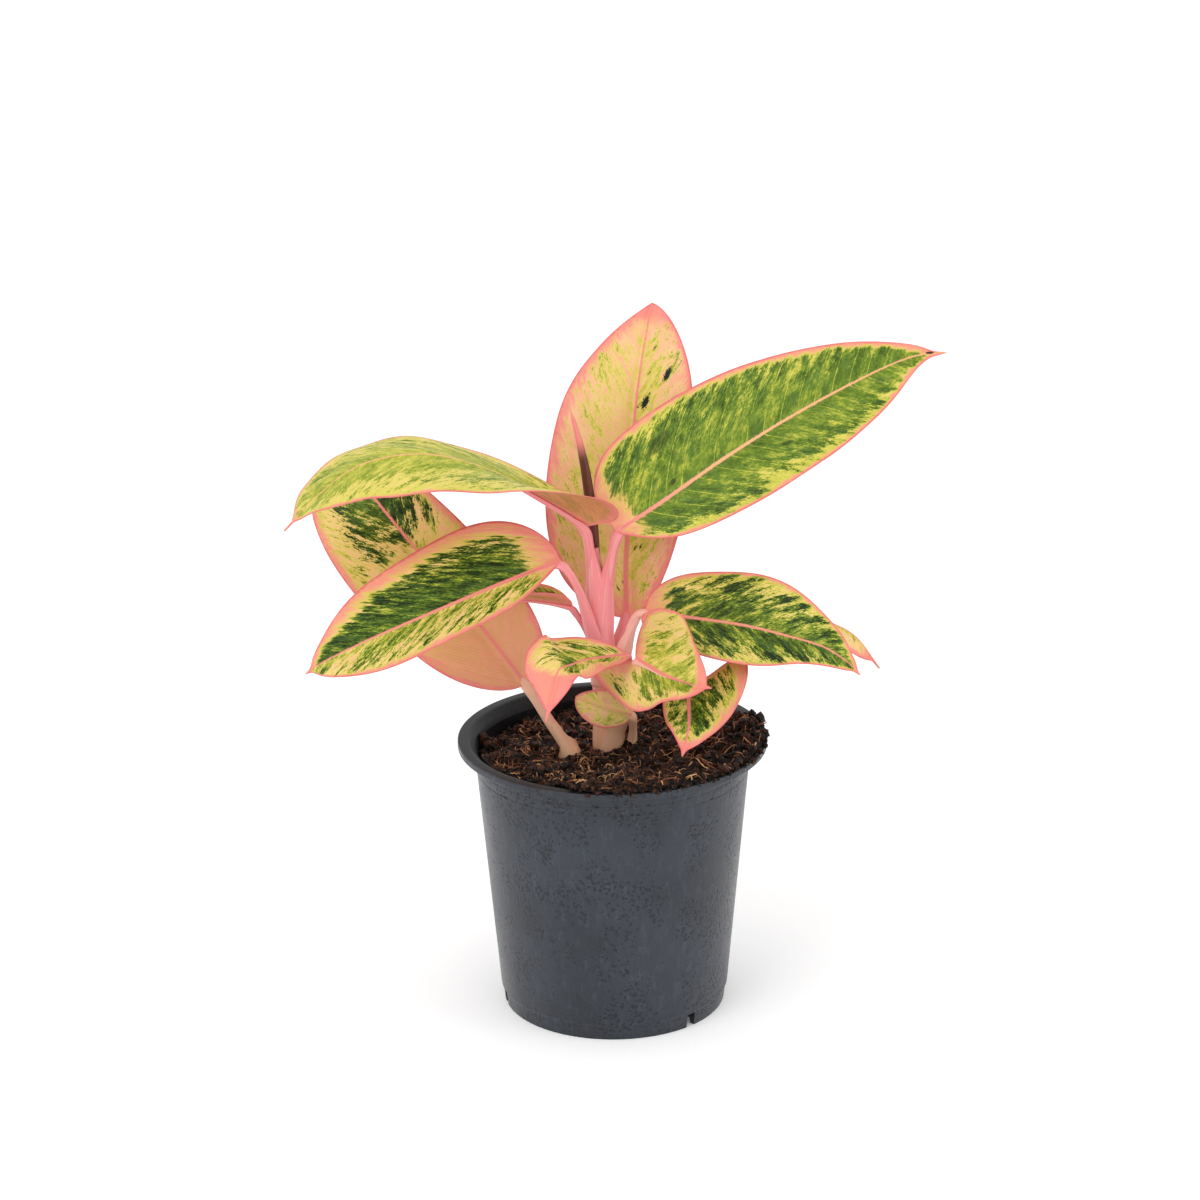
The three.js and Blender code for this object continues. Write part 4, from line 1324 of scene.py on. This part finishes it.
def make_pot():
    """The pot, turned from its outline, with the drain notches cut out of its foot."""
    outline = rounded(pot_outline(), POT_ROUNDING)
    profile = outline[1:-1]
    rings = round_axis(full_turn(POT_SEGMENTS), profile[:, :1], profile[:, 1:])
    rim_edge = np.argmax(profile[:, 1] >= POT_HEIGHT - 0.01)
    # Faces from the rim's top inwards take the darker inside material, which carries painted shade.
    inside = np.repeat(np.arange(len(profile) - 1) >= rim_edge, POT_SEGMENTS)
    finish = np.concatenate([inside, np.zeros(POT_SEGMENTS), np.ones(POT_SEGMENTS)]).astype(int)
    shape = Shape()
    shape.add(*loft(rings, (0, 0, outline[0][1]), (0, 0, outline[-1][1])), finish=finish)
    pot = shape.piece("pot_fine", [pot_plastic(), pot_inside_painted_shade()], "pot")
    cut_notches(pot)
    pot.data.set_sharp_from_angle(angle=math.radians(POT_SHARP_DEG))


def cut_notches(pot):
    """Takes the drain notches out of the foot with a box for each."""
    boxes = bmesh.new()
    size = Matrix.Diagonal((NOTCH_DEPTH * MM, NOTCH_WIDTH * MM, 2 * NOTCH_HEIGHT * MM, 1))
    out = Matrix.Translation((FOOT_RADIUS * MM, 0, 0))
    for i in range(NOTCH_COUNT):
        turn = Matrix.Rotation(math.radians(NOTCH_FIRST_DEG + 360 * i / NOTCH_COUNT), 4, "Z")
        bmesh.ops.create_cube(boxes, size=1, matrix=turn @ out @ size)
    mesh = bpy.data.meshes.new("notches")
    boxes.to_mesh(mesh)
    boxes.free()
    cutter = place_in_scene("notches", mesh)
    cut = pot.modifiers.new("cut", "BOOLEAN")
    cut.object = cutter
    cut.operation = "DIFFERENCE"
    cut.solver = "EXACT"
    graph = bpy.context.evaluated_depsgraph_get()
    notched = bpy.data.meshes.new_from_object(pot.evaluated_get(graph))
    pot.modifiers.clear()
    pot.data = notched
    bpy.data.objects.remove(cutter)


# Potting mix

def soil_height(x, y):
    """Top of the mix: a tilt, and low lumps from two crossed sine waves."""
    lumps = np.sin(0.31 * x + 1) * np.cos(0.27 * y) + 0.6 * np.sin(0.17 * x - 0.23 * y)
    return SOIL_LEVEL + SOIL_SLOPE[0] * x + SOIL_SLOPE[1] * y + SOIL_LUMP * lumps


def spill_shares(angle):
    """At each angle round the pot: how much the mix rises, how much it lies on the rim, and its heap."""
    away = np.cos(angle - math.radians(SPILL_DEG))
    heap = HEAP_HEIGHT * smoothstep(np.cos(angle - math.radians(HEAP_DEG)), 0.7, 1)
    near = NEAR_SHARE * smoothstep(np.cos(angle - math.radians(NEAR_DEG)), *NEAR_RISES)
    up = near + (1 - near) * smoothstep(away, *SPILL_RISES)
    return up, smoothstep(away, *SPILL_CROSSES), heap


def soil_top(x, y):
    """Height of the mix's top: it rises towards the spill, and lies on the rim there."""
    up, out, heap = spill_shares(np.arctan2(y, x))
    reach = np.hypot(x, y)
    top = soil_height(x, y) + (SPILL_HEIGHT + heap) * up * smoothstep(reach, *HEAP_RAMP)
    over = POT_HEIGHT + GAP + SPILL_ON_RIM + heap
    return top + (over - top) * out * smoothstep(reach, *RIM_RAMP)


def crumble(x, y):
    """Coarse and fine unevenness of the loose mix, in mm, less where it lies on the rim."""
    _, out, _ = spill_shares(np.arctan2(y, x))
    coarse = fold_noise(x / 2.9, y / 2.9, 21)
    middle = fold_noise(x / 1.4, y / 1.4, 23)
    fine = fold_noise(x / 0.7, y / 0.7, 22)
    calm = 1 - 0.55 * out * smoothstep(np.hypot(x, y), *RIM_RAMP)
    return (1.7 * coarse + 1.1 * middle + 0.5 * fine) * calm


def inside_wall(z):
    """How far out the mix reaches against the wall at height z."""
    return wall_radius(z) - WALL - 1.5 * GAP


def soil_surface():
    """Rings of the mix from the pot's floor up the wall and in over its top."""
    angle = full_turn(SOIL_SEGMENTS)
    cos, sin = np.cos(angle), np.sin(angle)
    up, out, heap = spill_shares(angle)
    edge = inside_wall(SOIL_LEVEL) - 1
    edge_z = soil_height(edge * cos, edge * sin) - 1
    rim_top = POT_HEIGHT + GAP
    outer = blend(edge + 0.3, SPILL_REACH - 0.6, out)
    outer_z = blend(edge_z, rim_top + SPILL_ON_RIM + heap, up)
    profile = [
        (inside_wall(FLOOR_TOP_Z) - 0.6, FLOOR_TOP_Z + GAP),
        (inside_wall(STEP_Z + 4), STEP_Z + 4),
        (inside_wall(SOIL_STRAIGHT_TO_Z), SOIL_STRAIGHT_TO_Z),
        (blend(inside_wall(edge_z - 2), WALL_TOP_RADIUS - 1.6, out), blend(edge_z - 2, WALL_TOP_Z, up)),
        (blend(inside_wall(edge_z - 1.3), RIM_INNER_RADIUS - 1.4, out), blend(edge_z - 1.3, rim_top, up)),
        (blend(inside_wall(edge_z - 0.6), SPILL_REACH, out), blend(edge_z - 0.6, rim_top + 0.2, up)),
        (outer, outer_z),
    ]
    rings = [round_axis(angle, radius, height) for radius, height in profile]
    for share in np.linspace(0.985, 0.01, SOIL_RINGS):
        radius = outer * share
        x, y = radius * cos, radius * sin
        top = soil_top(x, y) + crumble(x, y)
        rings.append(np.stack([x, y, blend(outer_z, top, smoothstep(share, 1.0, 0.93))], axis=1))
    return np.array(rings)


def soil_material(name, dark, light):
    """Loose damp grains: dark with redder and paler flecks, and a coarse bump.

    A crumb's own share value, 0 to 1, makes it lighter.
    """
    paint = Paint(name)
    place = paint.place()
    grain = paint.noise(place, 700, 5, 0.7)
    lightness = grain + paint.band(paint.value("share"), 0.45, 1.0, 0.0, 0.26)
    skin = paint.mix(paint.band(lightness, 0.48, 0.84), dark, light)
    fleck = paint.band(paint.red(paint.cells(place, 900, "Color")), 0.8, 0.95, 0.0, 0.5)
    skin = paint.mix(fleck, skin, colour(104, 62, 38))
    return paint.finish(skin, 0.62, paint.bump(grain, 0.0012, 0.9), Specular_IOR_Level=0.25)


def make_soil():
    """The body of the mix, which fills the pot and spills over its rim."""
    shape = Shape()
    shape.add(*loft(soil_surface()))
    damp = soil_material("potting_mix_damp", colour(5, 3, 2), colour(50, 28, 18))
    shape.piece("potting_mix_fine", [damp], "potting_mix")


def soil_places(random, count, reach):
    """Random places on the mix, evenly over its disc, with their heights."""
    radius = reach * np.sqrt(random.uniform(0, 1, count))
    angle = random.uniform(0, 2 * np.pi, count)
    _, out, _ = spill_shares(angle)
    radius = radius * (1 + 0.16 * out * smoothstep(radius, 35, 50))
    radius = np.minimum(radius, CRUMB_REACH + 8.0 * out)
    x, y = radius * np.cos(angle), radius * np.sin(angle)
    return x, y, soil_top(x, y) + crumble(x, y)


def rim_crumbs(random, count):
    """Place and size of crumbs along the spill's outer edge, some of them over the rim's lip."""
    angle = math.radians(SPILL_DEG) + random.uniform(-1, 1, count) * math.radians(RIM_CRUMB_SPAN_DEG)
    _, out, heap = spill_shares(angle)
    radius = 52.0 + out * random.uniform(2.5, 8.4, count)
    size = CRUMB_LEAST + RIM_CRUMB_SPREAD * random.random(count) ** 2
    height = POT_HEIGHT + GAP + (SPILL_ON_RIM + heap) * smoothstep(radius, 60.2, 56.5)
    height = np.where(radius > 58.5, POT_HEIGHT + 0.35 * size, height)
    height = np.where(radius > 60.1, POT_HEIGHT - random.uniform(0, 0.8, count), height)
    x, y = radius * np.cos(angle), radius * np.sin(angle)
    return x, y, np.where(out < 0.5, soil_top(x, y), height), size


def ball():
    """Corners and faces of a twenty-sided ball."""
    mesh = bmesh.new()
    bmesh.ops.create_icosphere(mesh, subdivisions=1, radius=1)
    corners = np.array([corner.co for corner in mesh.verts])
    faces = np.array([[corner.index for corner in face.verts] for face in mesh.faces])
    mesh.free()
    return corners, faces


def make_crumbs():
    """Loose crumbs: small twenty-sided lumps, each squashed and turned its own way."""
    random = np.random.default_rng(CRUMB_SEED)
    corners, faces = ball()
    top = soil_places(random, CRUMB_COUNT, CRUMB_REACH)
    top_size = CRUMB_LEAST + CRUMB_SPREAD * random.random(CRUMB_COUNT) ** 3.2
    rim = rim_crumbs(random, RIM_CRUMB_COUNT)
    x, y, z, size = np.concatenate([[*top, top_size], rim], axis=1)
    count = len(size)
    dents = 0.3 * random.standard_normal((count, len(corners), 1)).clip(-1.4, 1.4)
    squash = size[:, None] * random.uniform(0.6, 1.3, (count, 3))
    lumps = corners * (1 + dents) * squash[:, None]
    turn = random.uniform(0, 2 * np.pi, count)
    cos, sin = np.cos(turn)[:, None], np.sin(turn)[:, None]
    turned_x = lumps[..., 0] * cos - lumps[..., 1] * sin
    turned_y = lumps[..., 0] * sin + lumps[..., 1] * cos
    centre = np.stack([x, y, z + 0.25 * size], axis=1)
    points = np.stack([turned_x, turned_y, lumps[..., 2]], axis=-1) + centre[:, None]
    shade = np.repeat(random.random(count), len(corners))
    shape = Shape()
    shape.add(points, [], copies(faces, len(corners), count), share=shade)
    peat = soil_material("crumb_peat", colour(6, 4, 3), colour(74, 43, 27))
    shape.piece("soil_crumbs", [peat], "potting_mix", stands_in=False, sharp_deg=CRUMB_SHARP_DEG)


def fibre_paths(random):
    """A bent line for each coir fibre, resting on the mix."""
    x, y, _ = soil_places(random, FIBRE_COUNT, FIBRE_REACH)
    length = FIBRE_LEAST + FIBRE_SPREAD * random.random(FIBRE_COUNT) ** 2
    heading = random.uniform(0, 2 * np.pi, FIBRE_COUNT)
    bend = random.normal(0, 1.1, FIBRE_COUNT)
    u = np.linspace(-1, 1, FIBRE_STATIONS)
    direction = heading[:, None] + bend[:, None] * u / 2
    step = (length / FIBRE_STATIONS)[:, None]
    half = 0.5 * length[:, None]
    x = x[:, None] + np.cumsum(np.cos(direction) * step, axis=1) - half * np.cos(heading)[:, None]
    y = y[:, None] + np.cumsum(np.sin(direction) * step, axis=1) - half * np.sin(heading)[:, None]
    _, out, _ = spill_shares(np.arctan2(y, x))
    scale = np.minimum(1, (50.6 + 9.2 * out) / np.maximum(np.hypot(x, y), 1e-6))
    x, y = x * scale, y * scale
    arch = random.uniform(0, 0.8, FIBRE_COUNT)[:, None] * (1 - u**2)
    tilt = random.normal(0, 0.9, FIBRE_COUNT)[:, None] * u
    z = soil_top(x, y) + 0.8 * crumble(x, y) + 0.8 + arch + tilt
    return np.stack([x, y, z], axis=-1)


def fibre_skin():
    """Dark brown to straw by the fibre's own share value."""
    paint = Paint("coir_fibre")
    tone = paint.value("share")
    skin = paint.mix(paint.band(tone, 0.1, 0.6), colour(20, 11, 7), colour(122, 70, 42))
    skin = paint.mix(paint.band(tone, 0.62, 0.95), skin, colour(210, 160, 110))
    grain = paint.noise(paint.place(), 2000, 2)
    return paint.finish(skin, 0.6, paint.bump(grain, 0.0002, 0.6), Specular_IOR_Level=0.3)


def make_fibres():
    """Coir fibres: thin five-sided tubes that taper to both ends."""
    random = np.random.default_rng(FIBRE_SEED)
    path = fibre_paths(random)
    along = unit(np.gradient(path, axis=1))
    side = unit(np.cross(along, (0, 0, 1.0)))
    taper = 1 - 0.7 * np.abs(np.linspace(-1, 1, FIBRE_STATIONS)) ** 3
    radius = (0.08 + 0.26 * random.random(FIBRE_COUNT) ** 2)[:, None] * taper
    angle = full_turn(FIBRE_SIDES)
    first, second = radius[..., None] * np.cos(angle), radius[..., None] * np.sin(angle)
    rings = beside(path, side, np.cross(along, side), first, second)
    tube = ring_faces(FIBRE_STATIONS, FIBRE_SIDES)
    fan = np.array([[0, k + 1, k] for k in range(1, FIBRE_SIDES - 1)])
    caps = np.concatenate([fan, (FIBRE_STATIONS - 1) * FIBRE_SIDES + fan[:, ::-1]])
    each = FIBRE_STATIONS * FIBRE_SIDES
    shade = np.repeat(random.random(FIBRE_COUNT), each)
    shape = Shape()
    shape.add(rings, copies(tube, each, FIBRE_COUNT), copies(caps, each, FIBRE_COUNT), share=shade)
    shape.piece("soil_fibres", [fibre_skin()], "potting_mix", stands_in=False)


# Studio

def set_axes(thing, right, up, back, place):
    """Stands a camera or lamp at its place with these axes. It looks away from back."""
    turn = np.eye(4)
    turn[:3] = np.stack([right, up, back, place], axis=1)
    thing.matrix_world = Matrix(turn.tolist())


def make_camera():
    """The photograph's camera: aimed at its target from a given height angle, with a small roll."""
    tilt, roll = math.radians(CAMERA_ELEVATION_DEG), math.radians(CAMERA_ROLL_DEG)
    ahead = np.array([0, math.cos(tilt), -math.sin(tilt)])
    level = np.array([1.0, 0, 0])
    rise = np.array([0, math.sin(tilt), math.cos(tilt)])
    right = level * math.cos(roll) + rise * math.sin(roll)
    up = rise * math.cos(roll) - level * math.sin(roll)
    data = bpy.data.cameras.new("studio_camera")
    data.lens = CAMERA_LENS
    data.sensor_width = CAMERA_SENSOR
    camera = place_in_scene("studio_camera", data)
    set_axes(camera, right, up, -ahead, (np.array(CAMERA_TARGET) - CAMERA_DISTANCE * ahead) * MM)
    bpy.context.scene.camera = camera


def make_floor():
    """The white floor, on which the pot stands."""
    half = FLOOR_HALF_SIDE
    corners = [(-half, -half, 0), (half, -half, 0), (half, half, 0), (-half, half, 0)]
    mesh = bpy.data.meshes.new("floor")
    mesh.from_pydata(corners, [], [(0, 1, 2, 3)])
    glow = {"Emission_Color": FLOOR_WHITE, "Emission_Strength": FLOOR_GLOW}
    white = Paint("floor_white").finish(FLOOR_WHITE, 0.9, Specular_IOR_Level=0.0, **glow)
    mesh.materials.append(white)
    place_in_scene("floor", mesh)


def area_light(name, place, aim, size, power):
    """A round lamp at its place, turned to its aim."""
    data = bpy.data.lights.new(name, "AREA")
    data.shape = "DISK"
    data.size = size
    data.energy = power
    back = unit(np.array(place, float) - np.array(aim, float))
    right = unit(np.cross((0, 0, 1.0), back))
    set_axes(place_in_scene(name, data), right, np.cross(back, right), back, place)


def make_lights():
    """A bright even room, and the lamps."""
    world = bpy.data.worlds.new("studio")
    world.use_nodes = True
    background = world.node_tree.nodes["Background"]
    background.inputs["Color"].default_value = (1, 1, 1, 1)
    background.inputs["Strength"].default_value = 1.0
    bpy.context.scene.world = world
    for name, lamp in LAMPS.items():
        area_light(name, **lamp)
    bpy.context.scene.view_settings.view_transform = "Standard"


make_camera()
make_floor()
make_lights()
make_pot()
make_soil()
make_crumbs()
make_fibres()
make_stem()
make_spear()
make_leaves()
